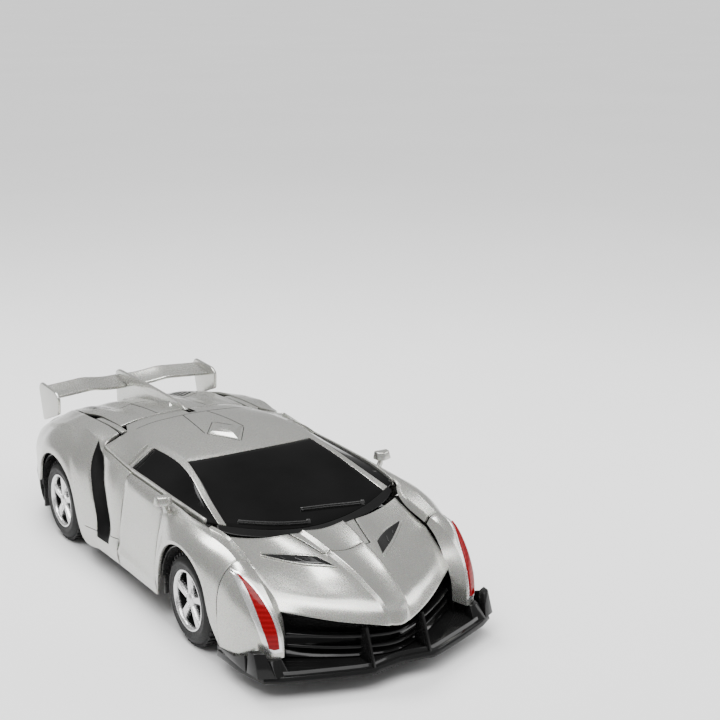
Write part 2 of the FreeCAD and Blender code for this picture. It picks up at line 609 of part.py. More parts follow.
def splitter():
    half = [(0, -136), (14, -138), (30, -132.5), (48, -125.5), (55, -121), (58.6, -104), (58.6, -89.6)]
    back = [(55, -89.6), (51, -102), (30, -110), (0, -115)]
    outline = half + back
    blade = prism_z(outline + [(-x, y) for x, y in reversed(outline) if x > 0], 8.0, 10.6)
    for side in both(prism_x([(-122, 10.2), (-126.5, 10.2), (-121, 22.5), (-116, 24), (-112, 10.2)], 53.2,
                             54.8)):
        blade = blade.fuse(side)
    for side in both(prism_x([(-137.2, 10), (-133, 24), (-130.6, 24), (-131, 10)], 13.0, 15.4)):
        blade = blade.fuse(side.cut(box(-60, 60, -140, -100, 23.0, 30)))
    return blade


def pod_rows():
    """Bodywork round one headlight, bottom row first, inner edge to outer edge."""
    return [
        [(40.6, -114.6, 17.0), (44.5, -119.0, 16.0), (50.5, -116.0, 14.5), (56.5, -104, 12.6),
         (57.6, -90.7, 12.0)],
        [(40.4, -113.0, 26.0), (44.8, -117.5, 26.0), (51.0, -113.0, 25.5), (57.0, -102, 26.0),
         (58.2, -90.7, 27.0)],
        [(40.8, -107.0, 34.2), (45.8, -112.0, 34.0), (51.6, -108.0, 34.0), (56.2, -100, 35.0),
         (57.4, -90.7, 36.0)],
        [(41.8, -99.0, 39.8), (47.0, -103.0, 40.2), (51.8, -100.5, 41.0), (54.4, -96, 41.2),
         (55.4, -90.7, 41.0)],
        [(42.8, -90.9, 42.6), (46.6, -90.8, 43.4), (50.6, -90.7, 44.2), (52.6, -90.7, 44.0),
         (53.4, -90.7, 43.4)],
    ]


def lens_rows():
    return [
        [(45.4, -117.6, 22.5), (49.6, -114.8, 22.5)],
        [(45.9, -116.6, 27.0), (50.8, -112.7, 27.0)],
        [(46.6, -111.6, 34.6), (51.4, -107.8, 34.6)],
        [(47.8, -103.2, 40.4), (51.2, -101.2, 40.8)],
    ]


def chest_frame():
    """Cross member with a gap for the head, hinge ears and forked shoulder brackets."""
    frame = None
    wing = box(13, 39, -106, -100, 12, 32)
    ear = prism_x([(-101, 22), (-101, 35), (-66, 33), (-61, 30), (-61, 25), (-66, 22)], 29, 32)
    fork_low = prism_z([(29.5, -101), (40, -101), (40, -84), (37.6, -82.5), (37.6, -79.5), (32, -79.5),
                        (29.5, -84)],
                       27.0, 29.6)
    fork_top = prism_z([(32, -93), (39, -93), (39, -84), (37.6, -82.5), (37.6, -79.5), (32, -79.5)], 37.9,
                       39.2)
    back = box(31, 39, -101, -96, 27.0, 33).fuse(box(32, 39, -97, -90, 27.0, 38.4))
    pin = rod_z(SHOULDER_X, SHOULDER_Y, SHAFT_R, 28, 38.5)
    for piece in (wing, ear, fork_low, fork_top, back, pin):
        for side in both(piece):
            frame = side if frame is None else frame.fuse(side)
    for side in both(box(11, 15, -118, -104, 12, 20)):
        frame = frame.fuse(side)
    frame = frame.fuse(box(-14, 14, -118, -113.5, 12, 20))
    return frame.cut(rod_x(CHEST_Y, CHEST_Z, SHAFT_R, -40, 40))


def chest():
    save("hood_shell", hood())
    save("nose_grille", grille())
    save("splitter", splitter())
    save("headlight_pods", *both(clip_y(panel(pod_rows(), (0.3, -1, 0.4)), -125, -90.7)))
    save("headlight_lenses", *both(panel(lens_rows(), (0.3, -1, 0.4), 1.5, 0.7)))
    save("chest_frame", chest_frame())
    save("chest_axle", *both(rod_x(CHEST_Y, CHEST_Z, SHAFT_R, 23.4, 32)))


# ---------------------------------------------------------------- arms
def arm_link():
    bar = box(SHOULDER_X - 2.5, SHOULDER_X + 2.5, SHOULDER_Y, ELBOW_Y, ARM_Z0, ARM_Z1)
    for y in (SHOULDER_Y, ELBOW_Y):
        bar = bar.fuse(rod_z(SHOULDER_X, y, 2.9, ARM_Z0, ARM_Z1))
    for y in (SHOULDER_Y, ELBOW_Y):
        bar = bar.cut(rod_z(SHOULDER_X, y, SHAFT_R + RUN, 0, 50))
    return bar


def fender_rows():
    """Front wing and door skin, bottom lip first, one row per station towards the tail."""
    f = FRONT_AXLE_Y
    return [
        [(57.6, -90.1, 12.4), (58.2, -90.1, 27), (57.4, -90.1, 36), (55.4, -90.1, 41.2),
         (53.4, -90.1, 43.6),
         (46.0, -90.1, 43.6)],
        [(58.6, -84.5, 20.4), (58.8, -84.5, 30), (57.8, -84.5, 38), (55.6, -84.5, 43), (53.6, -84.5, 45.2),
         (45.4, -84.5, 44.8)],
        [(59.2, -74, arch_z(-74, f)), (59.2, -74, 41.6), (58.2, -74, 43.4), (56.6, -74, 45.8),
         (54.2, -74, 47.4),
         (45.2, -74, 46.8)],
        [(59.6, -60, arch_z(-60, f)), (59.4, -60, 45.6), (58.4, -60, 46.6), (57.0, -60, 48),
         (54.6, -60, 49.4),
         (48.4, -60, 50.0)],
        [(59.2, -46, arch_z(-46, f)), (59.0, -46, 42.4), (58.0, -46, 44.4), (56.4, -46, 47),
         (54.4, -46, 49.6),
         (51.0, -46, 51.8)],
        [(58.4, -36.2, 26.5), (58.4, -36.2, 32), (57.6, -36.2, 38), (55.8, -36.2, 45), (53.8, -36.2, 49.6),
         (51.4, -36.2, 53.0)],
        [(57.6, -33, 12.8), (58.4, -33, 24), (57.6, -33, 35), (55.6, -33, 44), (53.6, -33, 49.4),
         (51.4, -33, 53.2)],
        [(57.4, -14, 12.4), (58.0, -14, 22), (56.4, -14, 36), (54.8, -14, 43), (53.4, -14, 48.6),
         (51.4, -14, 53.6)],
        [(57.2, 8.0, 12.0), (57.6, 8.0, 22), (55.6, 8.0, 36.5), (54.2, 8.0, 42.5), (52.8, 8.0, 48.6),
         (51.4, 8.0, 53.8)],
    ]


def wheel_cover():
    """Inner cover of a front wheel with the wheel stub and the forked elbow."""
    f = FRONT_AXLE_Y
    outline = [(f - 21, 12), (f - 21, 34), (f - 14, 40.5), (f + 14, 40.5), (f + 21, 34), (f + 22, 12),
               (f + 8, 9), (f - 8, 9)]
    cover = prism_x(outline, PLATE_IN, PLATE_OUT)
    for z0, z1 in ((26.8, 29.6), (37.9, 39.8)):
        cover = cover.fuse(prism_z([(31.6, -46), (PLATE_OUT, -46), (PLATE_OUT, -38), (31.6, -38)], z0, z1))
    cover = cover.fuse(rod_z(SHOULDER_X, ELBOW_Y, SHAFT_R, 28, 39))
    cover = cover.fuse(rod_x(f, TYRE_R, SHAFT_R, PLATE_IN, 53.5))
    cover = cover.fuse(rod_x(f, TYRE_R, 4.5, PLATE_IN - 1.2, PLATE_IN + 0.5))
    return cover.fuse(box(PLATE_IN, 56.4, -37.4, -36.4, 15, 34))


def mirror():
    stalk = prism_x([(-38.6, 50.6), (-35.4, 50.6), (-35.0, 55.4), (-38.0, 55.4)], 52.6, 55.0)
    shell = prism_z([(51.4, -38.6), (54, -40.4), (58.6, -38.2), (58.4, -35.0), (52.0, -34.6)], 55.0, 58.6)
    return stalk.fuse(shell)


def arms():
    skin = clip_y(panel(fender_rows(), (1, 0, 0.5)), -90.1, 8.0)
    post = mirror().cut(skin)
    for name, turn in (("left", lambda s: s), ("right", flip)):
        save("arm_link_" + name, turn(arm_link()))
        save("fender_door_" + name, turn(skin))
        save("wheel_cover_" + name, turn(wheel_cover()))
        save("mirror_" + name, turn(post))


os.makedirs(PARTS, exist_ok=True)
wheels_and_train()
rear_half()
foot()
torso()
head()
chest()
arms()
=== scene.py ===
import bpy
import bmesh
import json
import math
import numpy as np
from mathutils import Matrix, Vector
from mathutils.bvhtree import BVHTree


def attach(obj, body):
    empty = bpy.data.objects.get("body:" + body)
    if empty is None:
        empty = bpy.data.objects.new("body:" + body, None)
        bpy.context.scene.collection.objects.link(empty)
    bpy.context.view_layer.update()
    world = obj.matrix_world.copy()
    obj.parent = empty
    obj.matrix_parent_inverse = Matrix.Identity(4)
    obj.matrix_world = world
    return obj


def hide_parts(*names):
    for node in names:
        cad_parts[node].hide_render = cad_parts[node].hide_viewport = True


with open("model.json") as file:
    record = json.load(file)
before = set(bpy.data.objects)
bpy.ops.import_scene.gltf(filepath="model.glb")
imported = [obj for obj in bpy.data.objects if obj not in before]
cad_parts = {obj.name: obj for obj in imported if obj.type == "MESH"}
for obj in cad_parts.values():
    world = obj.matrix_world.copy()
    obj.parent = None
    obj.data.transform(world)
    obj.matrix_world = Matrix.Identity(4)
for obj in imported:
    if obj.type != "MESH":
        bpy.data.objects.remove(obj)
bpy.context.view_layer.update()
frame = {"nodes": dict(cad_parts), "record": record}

# All sizes below are millimetres in the CAD frame: +Z up, nose towards -Y, ground at z = 0.
MM = 0.001
SKIN = 1.3
FRONT_AXLE, REAR_AXLE = -60.0, 80.0
TYRE_R = 20.0
ARCH_R = 24.5

# Where the shells end along Y, with a seam between each pair of neighbours.
POD_REAR, WING_FRONT = -90.7, -90.1
WING_REAR, DOOR_FRONT = -33.0, -32.6
DOOR_REAR, QUARTER_FRONT = 8.0, 8.6

# Which way a panel's outside faces.
UP, FORWARD, BACKWARD = (0, 0, 1), (0, -1, 0), (0, 1, 0)

# How many rows of the cabin the screen and the side glass cover.
SCREEN_ROWS, GLASS_ROWS = 3, 4
# The foot's relief starts a little below its sloping face.
RELIEF_LOW = -0.2
# Screws under the car, as (x, y).
SCREWS = ((20, 104), (-20, 104), (34, 50), (-34, 50), (34, 104), (-34, 104))
# Edges that turn by more than this are rounded.
BEVEL_ANGLE = math.radians(48)

# Camera place in mm, how far it looks down and turns in degrees, and its lens on a 36 mm sensor.
CAMERA_PLACE = (-301.59, -576.41, 276.64)
CAMERA_DOWN, CAMERA_TURN, CAMERA_LENS = 15.1, -32.6, 73.9

# Area lamps: name, place in mm, width in mm and power in watts. The sun's direction is not to scale.
LAMPS = (("key", (-420, -330, 760), 560, 3.0), ("side", (620, -260, 330), 420, 2.2),
         ("top", (-40, 340, 760), 460, 7.0))
LAMP_TARGET = (0, 0, 30)
SUN_STRENGTH, SUN_DIRECTION = 3.2, (0.16, 0.34, -1.0)
WORLD_STRENGTH = 0.55
# Half the floor's width.
FLOOR_HALF = 40000


# ---------------------------------------------------------------- materials
def new_material(name):
    """A material with a Principled shader and object coordinates, ready to be wired."""
    mat = bpy.data.materials.new(name)
    mat.use_nodes = True
    tree = mat.node_tree
    tree.nodes.clear()
    out = tree.nodes.new("ShaderNodeOutputMaterial")
    bsdf = tree.nodes.new("ShaderNodeBsdfPrincipled")
    tree.links.new(bsdf.outputs[0], out.inputs[0])
    coords = tree.nodes.new("ShaderNodeTexCoord")
    return mat, tree, bsdf, coords


def noise(tree, coords, scale, detail=3.0):
    """A noise texture laid out in object space."""
    node = tree.nodes.new("ShaderNodeTexNoise")
    node.inputs["Scale"].default_value = scale
    node.inputs["Detail"].default_value = detail
    tree.links.new(coords.outputs["Object"], node.inputs["Vector"])
    return node


def ramp(tree, source, stops):
    """Turns the source into colour by (place, colour) stops."""
    node = tree.nodes.new("ShaderNodeValToRGB")
    while len(node.color_ramp.elements) < len(stops):
        node.color_ramp.elements.new(0.5)
    for element, (place, colour) in zip(node.color_ramp.elements, stops):
        element.position = place
        element.color = (*colour, 1)
    tree.links.new(source, node.inputs[0])
    return node


def add_bump(tree, source, bsdf, strength, depth):
    """Lets a texture roughen the surface, with the depth in millimetres."""
    height = tree.nodes.new("ShaderNodeBump")
    height.inputs["Strength"].default_value = strength
    height.inputs["Distance"].default_value = depth * MM
    tree.links.new(source.outputs["Fac"], height.inputs["Height"])
    tree.links.new(height.outputs[0], bsdf.inputs["Normal"])


def grey(value):
    """A neutral colour."""
    return (value, value, value)


def finish_material(name, dark, light, metallic, rough, mottle=60.0, grain=900.0, bump=0.05, coat=0.0,
                    coat_rough=0.1, spread=0.06, ior=1.5):
    """A moulded or painted finish: mottled colour, uneven gloss and fine surface grain."""
    mat, tree, bsdf, coords = new_material(name)
    patches = noise(tree, coords, mottle, 4.0)
    colour = ramp(tree, patches.outputs["Fac"], [(0.3, dark), (0.7, light)])
    tree.links.new(colour.outputs[0], bsdf.inputs["Base Color"])
    fine = noise(tree, coords, grain, 2.0)
    gloss = ramp(tree, fine.outputs["Fac"], [(0.3, grey(max(rough - spread, 0.02))),
                                             (0.7, grey(rough + spread))])
    tree.links.new(gloss.outputs[0], bsdf.inputs["Roughness"])
    add_bump(tree, fine, bsdf, bump, 0.1)
    bsdf.inputs["Metallic"].default_value = metallic
    bsdf.inputs["IOR"].default_value = ior
    if coat:
        bsdf.inputs["Coat Weight"].default_value = coat
        bsdf.inputs["Coat Roughness"].default_value = coat_rough
    return mat


def silver_paint():
    """Metallic silver: a flake speckle painted into the colour as painted glints, and fine grain that tilts
    the normal, under a clear coat.
    """
    mat, tree, bsdf, coords = new_material("silver_paint")
    flakes = tree.nodes.new("ShaderNodeTexVoronoi")
    flakes.inputs["Scale"].default_value = 3200.0
    tree.links.new(coords.outputs["Object"], flakes.inputs["Vector"])
    patches = noise(tree, coords, 35.0, 2.0)
    base = ramp(tree, patches.outputs["Fac"], [(0.25, (0.41, 0.41, 0.368)), (0.75, (0.46, 0.46, 0.415))])
    # Painted glints: a faint random flake speckle overlaid on the base colour stands in for light catching
    # the flakes.
    painted_flake_glint = tree.nodes.new("ShaderNodeMixRGB")
    painted_flake_glint.blend_type = "OVERLAY"
    painted_flake_glint.inputs[0].default_value = 0.16
    tree.links.new(base.outputs[0], painted_flake_glint.inputs[1])
    tree.links.new(flakes.outputs["Color"], painted_flake_glint.inputs[2])
    saturation = tree.nodes.new("ShaderNodeHueSaturation")
    saturation.inputs["Saturation"].default_value = 0.65
    tree.links.new(painted_flake_glint.outputs[0], saturation.inputs["Color"])
    tree.links.new(saturation.outputs[0], bsdf.inputs["Base Color"])
    fine = noise(tree, coords, 2600.0, 2.0)
    gloss = ramp(tree, fine.outputs["Fac"], [(0.3, grey(0.22)), (0.7, grey(0.32))])
    tree.links.new(gloss.outputs[0], bsdf.inputs["Roughness"])
    add_bump(tree, fine, bsdf, 0.035, 0.05)
    bsdf.inputs["Metallic"].default_value = 0.82
    bsdf.inputs["Coat Weight"].default_value = 0.45
    bsdf.inputs["Coat Roughness"].default_value = 0.09
    return mat


def red_lens():
    """Ribbed red plastic with a glossy skin and a faint painted glow from emission, though the lamps are not
    lit.
    """
    mat, tree, bsdf, coords = new_material("red_lens")
    wave = tree.nodes.new("ShaderNodeTexWave")
    wave.bands_direction = "Z"
    wave.inputs["Scale"].default_value = 180.0
    wave.inputs["Distortion"].default_value = 0.6
    tree.links.new(coords.outputs["Object"], wave.inputs["Vector"])
    colour = ramp(tree, wave.outputs["Fac"], [(0.0, (0.15, 0.001, 0.003)), (0.6, (0.18, 0.002, 0.004)),
                                              (1.0, (0.21, 0.003, 0.006))])
    tree.links.new(colour.outputs[0], bsdf.inputs["Base Color"])
    add_bump(tree, wave, bsdf, 0.05, 0.1)
    bsdf.inputs["Roughness"].default_value = 0.14
    bsdf.inputs["IOR"].default_value = 1.24
    # Painted glow: a faint red emission on lenses that are not lit.
    bsdf.inputs["Emission Color"].default_value = (0.5, 0.004, 0.006, 1)
    bsdf.inputs["Emission Strength"].default_value = 0.03
    return mat


# Each finish: dark and light colour, metallic, roughness, scales of mottle and grain, bump strength, and
# then, where they differ from the usual, coat, coat roughness, spread of the roughness and IOR.
FINISHES = {
    "gloss_black": (grey(0.005), grey(0.010), 0.0, 0.1, 25, 300, 0.02, 0.0, 0.03, 0.03, 1.27),
    "black_glass": (grey(0.003), grey(0.006), 0.0, 0.06, 25, 300, 0.01, 0.0, 0.03, 0.03, 1.2),
    "black_plastic": (grey(0.012), grey(0.02), 0.0, 0.3, 40, 1500, 0.12, 0.15, 0.15),
    "grey_plastic": (grey(0.2), grey(0.27), 0.35, 0.36, 40, 1500, 0.1, 0.1),
    "white_silver_trim": (grey(0.62), grey(0.72), 0.35, 0.3, 50, 1800, 0.06, 0.4),
    "trim_grey": (grey(0.3), grey(0.38), 0.6, 0.3, 50, 1800, 0.06, 0.3),
    "gold_trim": ((0.52, 0.33, 0.12), (0.66, 0.45, 0.2), 0.75, 0.3, 70, 1800, 0.08, 0.3),
    "copper_trim": ((0.27, 0.155, 0.105), (0.36, 0.22, 0.155), 0.55, 0.38, 70, 1800, 0.1),
    "tyre": (grey(0.006), grey(0.013), 0.0, 0.6, 120, 1400, 0.3, 0.0, 0.1, 0.1, 1.35),
    "chrome_plated": (grey(0.72), grey(0.82), 1.0, 0.13, 50, 700, 0.03, 0.0, 0.1, 0.05),
    "rim_silver": (grey(0.66), grey(0.76), 0.85, 0.24, 80, 1600, 0.05, 0.3),
    "steel": (grey(0.42), grey(0.55), 1.0, 0.3, 90, 1200, 0.08),
    "white_gear": ((0.68, 0.67, 0.62), (0.76, 0.75, 0.7), 0.0, 0.42, 60, 1200, 0.1),
    "cell_sleeve": ((0.03, 0.1, 0.28), (0.04, 0.13, 0.34), 0.1, 0.25, 60, 1200, 0.05, 0.4),
    "circuit_green": ((0.01, 0.12, 0.045), (0.02, 0.2, 0.07), 0.0, 0.35, 700, 900, 0.3),
    # dark_gap is near-black: it draws dark joint lines, and it is also painted shade inside the wheels and
    # the side intakes.
    "dark_gap": (grey(0.004), grey(0.009), 0.0, 0.5, 60, 900, 0.05, 0.0, 0.1, 0.1, 1.12),
}
MATS = {name: finish_material(name, *values) for name, values in FINISHES.items()}
MATS["silver_paint"] = silver_paint()
MATS["red_lens"] = red_lens()
MATS["black_glass"].node_tree.nodes["Principled BSDF"].inputs["Specular IOR Level"].default_value = 0.25


# ---------------------------------------------------------------- building
def add_object(name, bm, material, body, replaces=(), bevel=0.0, angle=32, segments=2):
    """Turns a bmesh in millimetres into a finished piece that rides on a body."""
    bmesh.ops.recalc_face_normals(bm, faces=bm.faces)
    mesh = bpy.data.meshes.new(name)
    bm.to_mesh(mesh)
    bm.free()
    mesh.transform(Matrix.Scale(MM, 4))
    mesh.materials.append(MATS[material])
    piece = bpy.data.objects.new(name, mesh)
    bpy.context.scene.collection.objects.link(piece)
    for face in mesh.polygons:
        face.use_smooth = True
    if bevel:
        rounding = piece.modifiers.new("edges", "BEVEL")
        rounding.width = bevel * MM
        rounding.segments = segments
        rounding.limit_method = "ANGLE"
        rounding.angle_limit = BEVEL_ANGLE
        rounding.harden_normals = False
        depsgraph = bpy.context.evaluated_depsgraph_get()
        rounded = bpy.data.meshes.new_from_object(piece.evaluated_get(depsgraph))
        piece.modifiers.clear()
        piece.data = rounded
    piece.data.set_sharp_from_angle(angle=math.radians(angle))
    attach(piece, body)
    if replaces:
        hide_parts(*replaces)
    return piece


def mirrored(bm):
    """A copy on the other side of the car's middle plane."""
    copy = bm.copy()
    bmesh.ops.scale(copy, vec=(-1, 1, 1), verts=copy.verts)
    bmesh.ops.reverse_faces(copy, faces=copy.faces)
    return copy


def sides():
    """Each side's name, its sign of X and the function that puts a left-hand piece there."""
    return (("left", 1, lambda bm: bm), ("right", -1, mirrored))


def join(*parts):
    """One bmesh that holds several separate closed shells."""
    whole = bmesh.new()
    for part in parts:
        offset = {v: whole.verts.new(v.co) for v in part.verts}
        for f in part.faces:
            whole.faces.new([offset[v] for v in f.verts])
        part.free()
    return whole


def twin(bm):
    """The piece and its mirror image together."""
    return join(bm, mirrored(bm))


def spline(points, per, sharp=()):
    """A smooth curve through the points along axis 0, with corners kept at the sharp ones."""
    p = np.asarray(points, float)
    count = len(p)
    if count < 2:
        return p
    chord = p[1:] - p[:-1]
    h = np.maximum(np.linalg.norm(chord, axis=-1, keepdims=True), 1e-6)
    slope = chord / h
    ahead, behind = np.empty_like(p), np.empty_like(p)
    for i in range(1, count - 1):
        t = (slope[i - 1] * h[i] + slope[i] * h[i - 1]) / (h[i] + h[i - 1])
        ahead[i] = behind[i] = t
    breaks = {0, count - 1} | set(sharp)
    for i in range(count):
        if i in breaks:
            if i < count - 1:
                free = i + 1 in breaks
                ahead[i] = slope[i] if free else 1.5 * slope[i] - 0.5 * behind[i + 1]
            if i > 0:
                free = i - 1 in breaks
                behind[i] = slope[i - 1] if free else 1.5 * slope[i - 1] - 0.5 * ahead[i - 1]
    out = []
    for i in range(count - 1):
        for k in range(per):
            s = k / per
            a, b = 2 * s**3 - 3 * s**2 + 1, s**3 - 2 * s**2 + s
            c, d = -2 * s**3 + 3 * s**2, s**3 - s**2
            out.append(a * p[i] + b * h[i] * ahead[i] + c * p[i + 1] + d * h[i] * behind[i + 1])
    out.append(p[-1])
    return np.array(out)


def surface(rows, per=5, sharp_rows=(), sharp_cols=()):
    """A fine smooth grid through the control points, with corners kept at the sharp rows and columns."""
    grid = spline(rows, per, sharp_rows)
    return np.swapaxes(spline(np.swapaxes(grid, 0, 1), per, sharp_cols), 0, 1)


def grid_normals(grid, hint):
    """Unit normals of the grid, turned towards the hint's side."""
    along = np.gradient(grid, axis=0)
    across = np.gradient(grid, axis=1)
    n = np.cross(along, across)
    n /= np.maximum(np.linalg.norm(n, axis=-1, keepdims=True), 1e-9)
    flip = np.sign(n @ np.asarray(hint, float))
    flip[flip == 0] = 1
    return n * flip[..., None]


def panel(rows, hint, per=5, sharp_rows=(), sharp_cols=(), keep=None, outer=0.0, inner=-SKIN, clip=None):
    """A smooth moulded skin over a control grid, thickened along its normals; keep() drops control cells."""
    grid = surface(rows, per, sharp_rows, sharp_cols)
    normals = grid_normals(grid, hint)
    top, low = grid + normals * outer, grid + normals * inner
    if clip:
        low[..., 1] = np.clip(low[..., 1], *clip)
        top[..., 1] = np.clip(top[..., 1], *clip)
    bm = bmesh.new()
    n_rows, n_cols = grid.shape[:2]
    made = {}

    def vert(kind, i, j):
        key = (kind, i, j)
        if key not in made:
            made[key] = bm.verts.new((top if kind else low)[i, j])
        return made[key]

    def kept(i, j):
        inside = 0 <= i < n_rows - 1 and 0 <= j < n_cols - 1
        return inside and (keep is None or keep(i // per, j // per))

    def quad(*corners):
        bm.faces.new([vert(*c) for c in corners])

    for i in range(n_rows - 1):
        for j in range(n_cols - 1):
            if not kept(i, j):
                continue
            quad((1, i, j), (1, i + 1, j), (1, i + 1, j + 1), (1, i, j + 1))
            quad((0, i, j), (0, i, j + 1), (0, i + 1, j + 1), (0, i + 1, j))
            walls = (((i - 1, j), (i, j), (i, j + 1)), ((i + 1, j), (i + 1, j), (i + 1, j + 1)),
                     ((i, j - 1), (i, j), (i + 1, j)), ((i, j + 1), (i, j + 1), (i + 1, j + 1)))
            for neighbour, a, b in walls:
                if not kept(*neighbour):
                    quad((1, *a), (1, *b), (0, *b), (0, *a))
    return bm


def full(rows):
    """Rows given from the centre line outwards, completed with their mirror image."""
    return [[(-x, y, z) for x, y, z in reversed(row[1:])] + list(row) for row in rows]


def both_cols(count, cols):
    """The column numbers of a completed row, given those counted from the centre line."""
    middle = count - 1
    return tuple(sorted({middle - c for c in cols} | {middle + c for c in cols}))


def prism(outline, axis, low, high):
    """A closed prism; the outline's two coordinates are the other two axes in X, Y, Z order."""
    def place(a, b, c):
        return {"x": (c, a, b), "y": (a, c, b), "z": (a, b, c)}[axis]
    bm = bmesh.new()
    bottom = [bm.verts.new(place(a, b, low)) for a, b in outline]
    top = [bm.verts.new(place(a, b, high)) for a, b in outline]
    bm.faces.new(bottom)
    bm.faces.new(list(reversed(top)))
    for k in range(len(outline)):
        n = (k + 1) % len(outline)
        bm.faces.new((bottom[k], bottom[n], top[n], top[k]))
    return bm


def taper(outline_low, outline_high, axis, low, high):
    """A prism whose two ends differ."""
    bm = prism(outline_low, axis, low, high)
    index = {"x": (1, 2), "y": (0, 2), "z": (0, 1)}[axis]
    bm.verts.ensure_lookup_table()
    for k, (a, b) in enumerate(outline_high):
        v = bm.verts[len(outline_low) + k]
        v.co[index[0]], v.co[index[1]] = a, b
    return bm


def station(y, *places):
    """One control row at a constant y, from (x, z) pairs."""
    return [(x, y, z) for x, z in places]


def level(z, *places):
    """One control row at a constant z, from (x, y) pairs."""
    return [(x, y, z) for x, y in places]


def block(x0, x1, y0, y1, z0, z1):
    """An upright box."""
    return prism(rect(x0, x1, y0, y1), "z", z0, z1)


def circle(a, b, r, steps):
    """Points of a circle about (a, b) in any plane."""
    turns = [2 * math.pi * k / steps for k in range(steps)]
    return [(a + r * math.cos(t), b + r * math.sin(t)) for t in turns]


def wrap_faces(bm, rings):
    """Closes the strips between neighbouring rings of vertices."""
    for a, b in zip(rings, rings[1:]):
        for i in range(len(a)):
            n = (i + 1) % len(a)
            bm.faces.new((a[i], a[n], b[n], b[i]))


def tube(bm, rings):
    """A closed solid through the rings, with a cap at each end."""
    wrap_faces(bm, rings)
    bm.faces.new(rings[0])
    bm.faces.new(list(reversed(rings[-1])))
    return bm


def lathe_x(profile, y, z, steps=72):
    """A closed ring turned about an axis along X; the profile is (x, radius), closed on itself."""
    bm = bmesh.new()
    rings = []
    for k in range(steps):
        t = 2 * math.pi * k / steps
        rings.append([bm.verts.new((x, y + r * math.cos(t), z + r * math.sin(t))) for x, r in profile])
    wrap_faces(bm, rings + rings[:1])
    return bm


def disc_x(y, z, r, x0, x1, steps=48):
    """A round disc or pin along X."""
    return prism(circle(y, z, r, steps), "x", x0, x1)


def disc_z(x, y, r, z0, z1, steps=32, top=1.0):
    """A round disc or pin along Z; top is the far end's radius as a share of r."""
    return taper(circle(x, y, r, steps), circle(x, y, r * top, steps), "z", z0, z1)


def turned(bm, degrees, centre, axis="X"):
    """Turns the piece about an axis through the centre."""
    turn = Matrix.Rotation(math.radians(degrees), 3, axis)
    bmesh.ops.rotate(bm, verts=bm.verts, cent=centre, matrix=turn)
    return bm


def rounded_outline(points, radius, steps=4):
    """The outline with every corner replaced by a short arc."""
    out = []
    count = len(points)
    for k in range(count):
        a, p, b = Vector(points[k - 1]), Vector(points[k]), Vector(points[(k + 1) % count])
        da, db = a - p, b - p
        r = min(radius, da.length * 0.45, db.length * 0.45)
        start, end = p + da.normalized() * r, p + db.normalized() * r
        for s in range(steps + 1):
            t = s / steps
            q = start * (1 - t) ** 2 + p * 2 * t * (1 - t) + end * t**2
            out.append((q.x, q.y))
    return out


def rect(a0, a1, b0, b1):
    """Corners of a rectangle in any plane."""
    return [(a0, b0), (a1, b0), (a1, b1), (a0, b1)]


def rounded_box(a0, a1, b0, b1, radius, steps=4):
    """Outline of a rectangle with rounded corners."""
    return rounded_outline(rect(a0, a1, b0, b1), radius, steps)


class Skin:
    """Finds the surface of a finished piece, so that lines and inserts can follow it."""

    def __init__(self, piece):
        points = [v.co / MM for v in piece.data.vertices]
        faces = [list(f.vertices) for f in piece.data.polygons]
        self.tree = BVHTree.FromPolygons(points, faces)

    def hit(self, start, direction):
        """Where a ray meets the surface, and the normal there."""
        place, normal, _, _ = self.tree.ray_cast(Vector(start), Vector(direction))
        return place, normal

    def down(self, x, y):
        """The surface straight below (x, y)."""
        return self.hit((x, y, 100), (0, 0, -1))

    def probe(self, way, a, b):
        """The first surface point seen from above (x, y), the front (x, z) or one side (y, z)."""
        if way == "down":
            return self.down(a, b)
        if way == "front":
            return self.hit((a, -200, b), (0, 1, 0))
        side = 1 if way == "left" else -1
        return self.hit((100 * side, a, b), (-side, 0, 0))


def seam(skin, points, width=0.4, lift=0.04, way="down", per=6, corners=()):
    """A narrow strip that follows the skin along a line, given as points of that view."""
    line = spline([(a, b, 0) for a, b in points], per, corners)
    bm = bmesh.new()
    previous = None
    for k, p in enumerate(line):
        step = line[min(k + 1, len(line) - 1)] - line[max(k - 1, 0)]
        flat = Vector((step[0], step[1], 0)).normalized()
        side = Vector((-flat.y, flat.x, 0)) * width / 2
        pair = []
        for q in (Vector(p) - side, Vector(p) + side):
            place, normal = skin.probe(way, q.x, q.y)
            if place is None:
                pair = None
                break
            pair.append((bm.verts.new(place + normal * lift), bm.verts.new(place - normal * 0.3)))
        if pair and previous:
            (a, a2), (b, b2) = previous
            (c, c2), (d, d2) = pair
            for loop in ((a, b, d, c), (a2, c2, d2, b2), (a, c, c2, a2), (b, b2, d2, d)):
                bm.faces.new(loop)
        elif pair:
            (a, a2), (b, b2) = pair
            bm.faces.new((a, a2, b2, b))
        if previous and not pair:
            (a, a2), (b, b2) = previous
            bm.faces.new((a, b, b2, a2))
        previous = pair
    if previous:
        (a, a2), (b, b2) = previous
        bm.faces.new((a, b, b2, a2))
    return bm


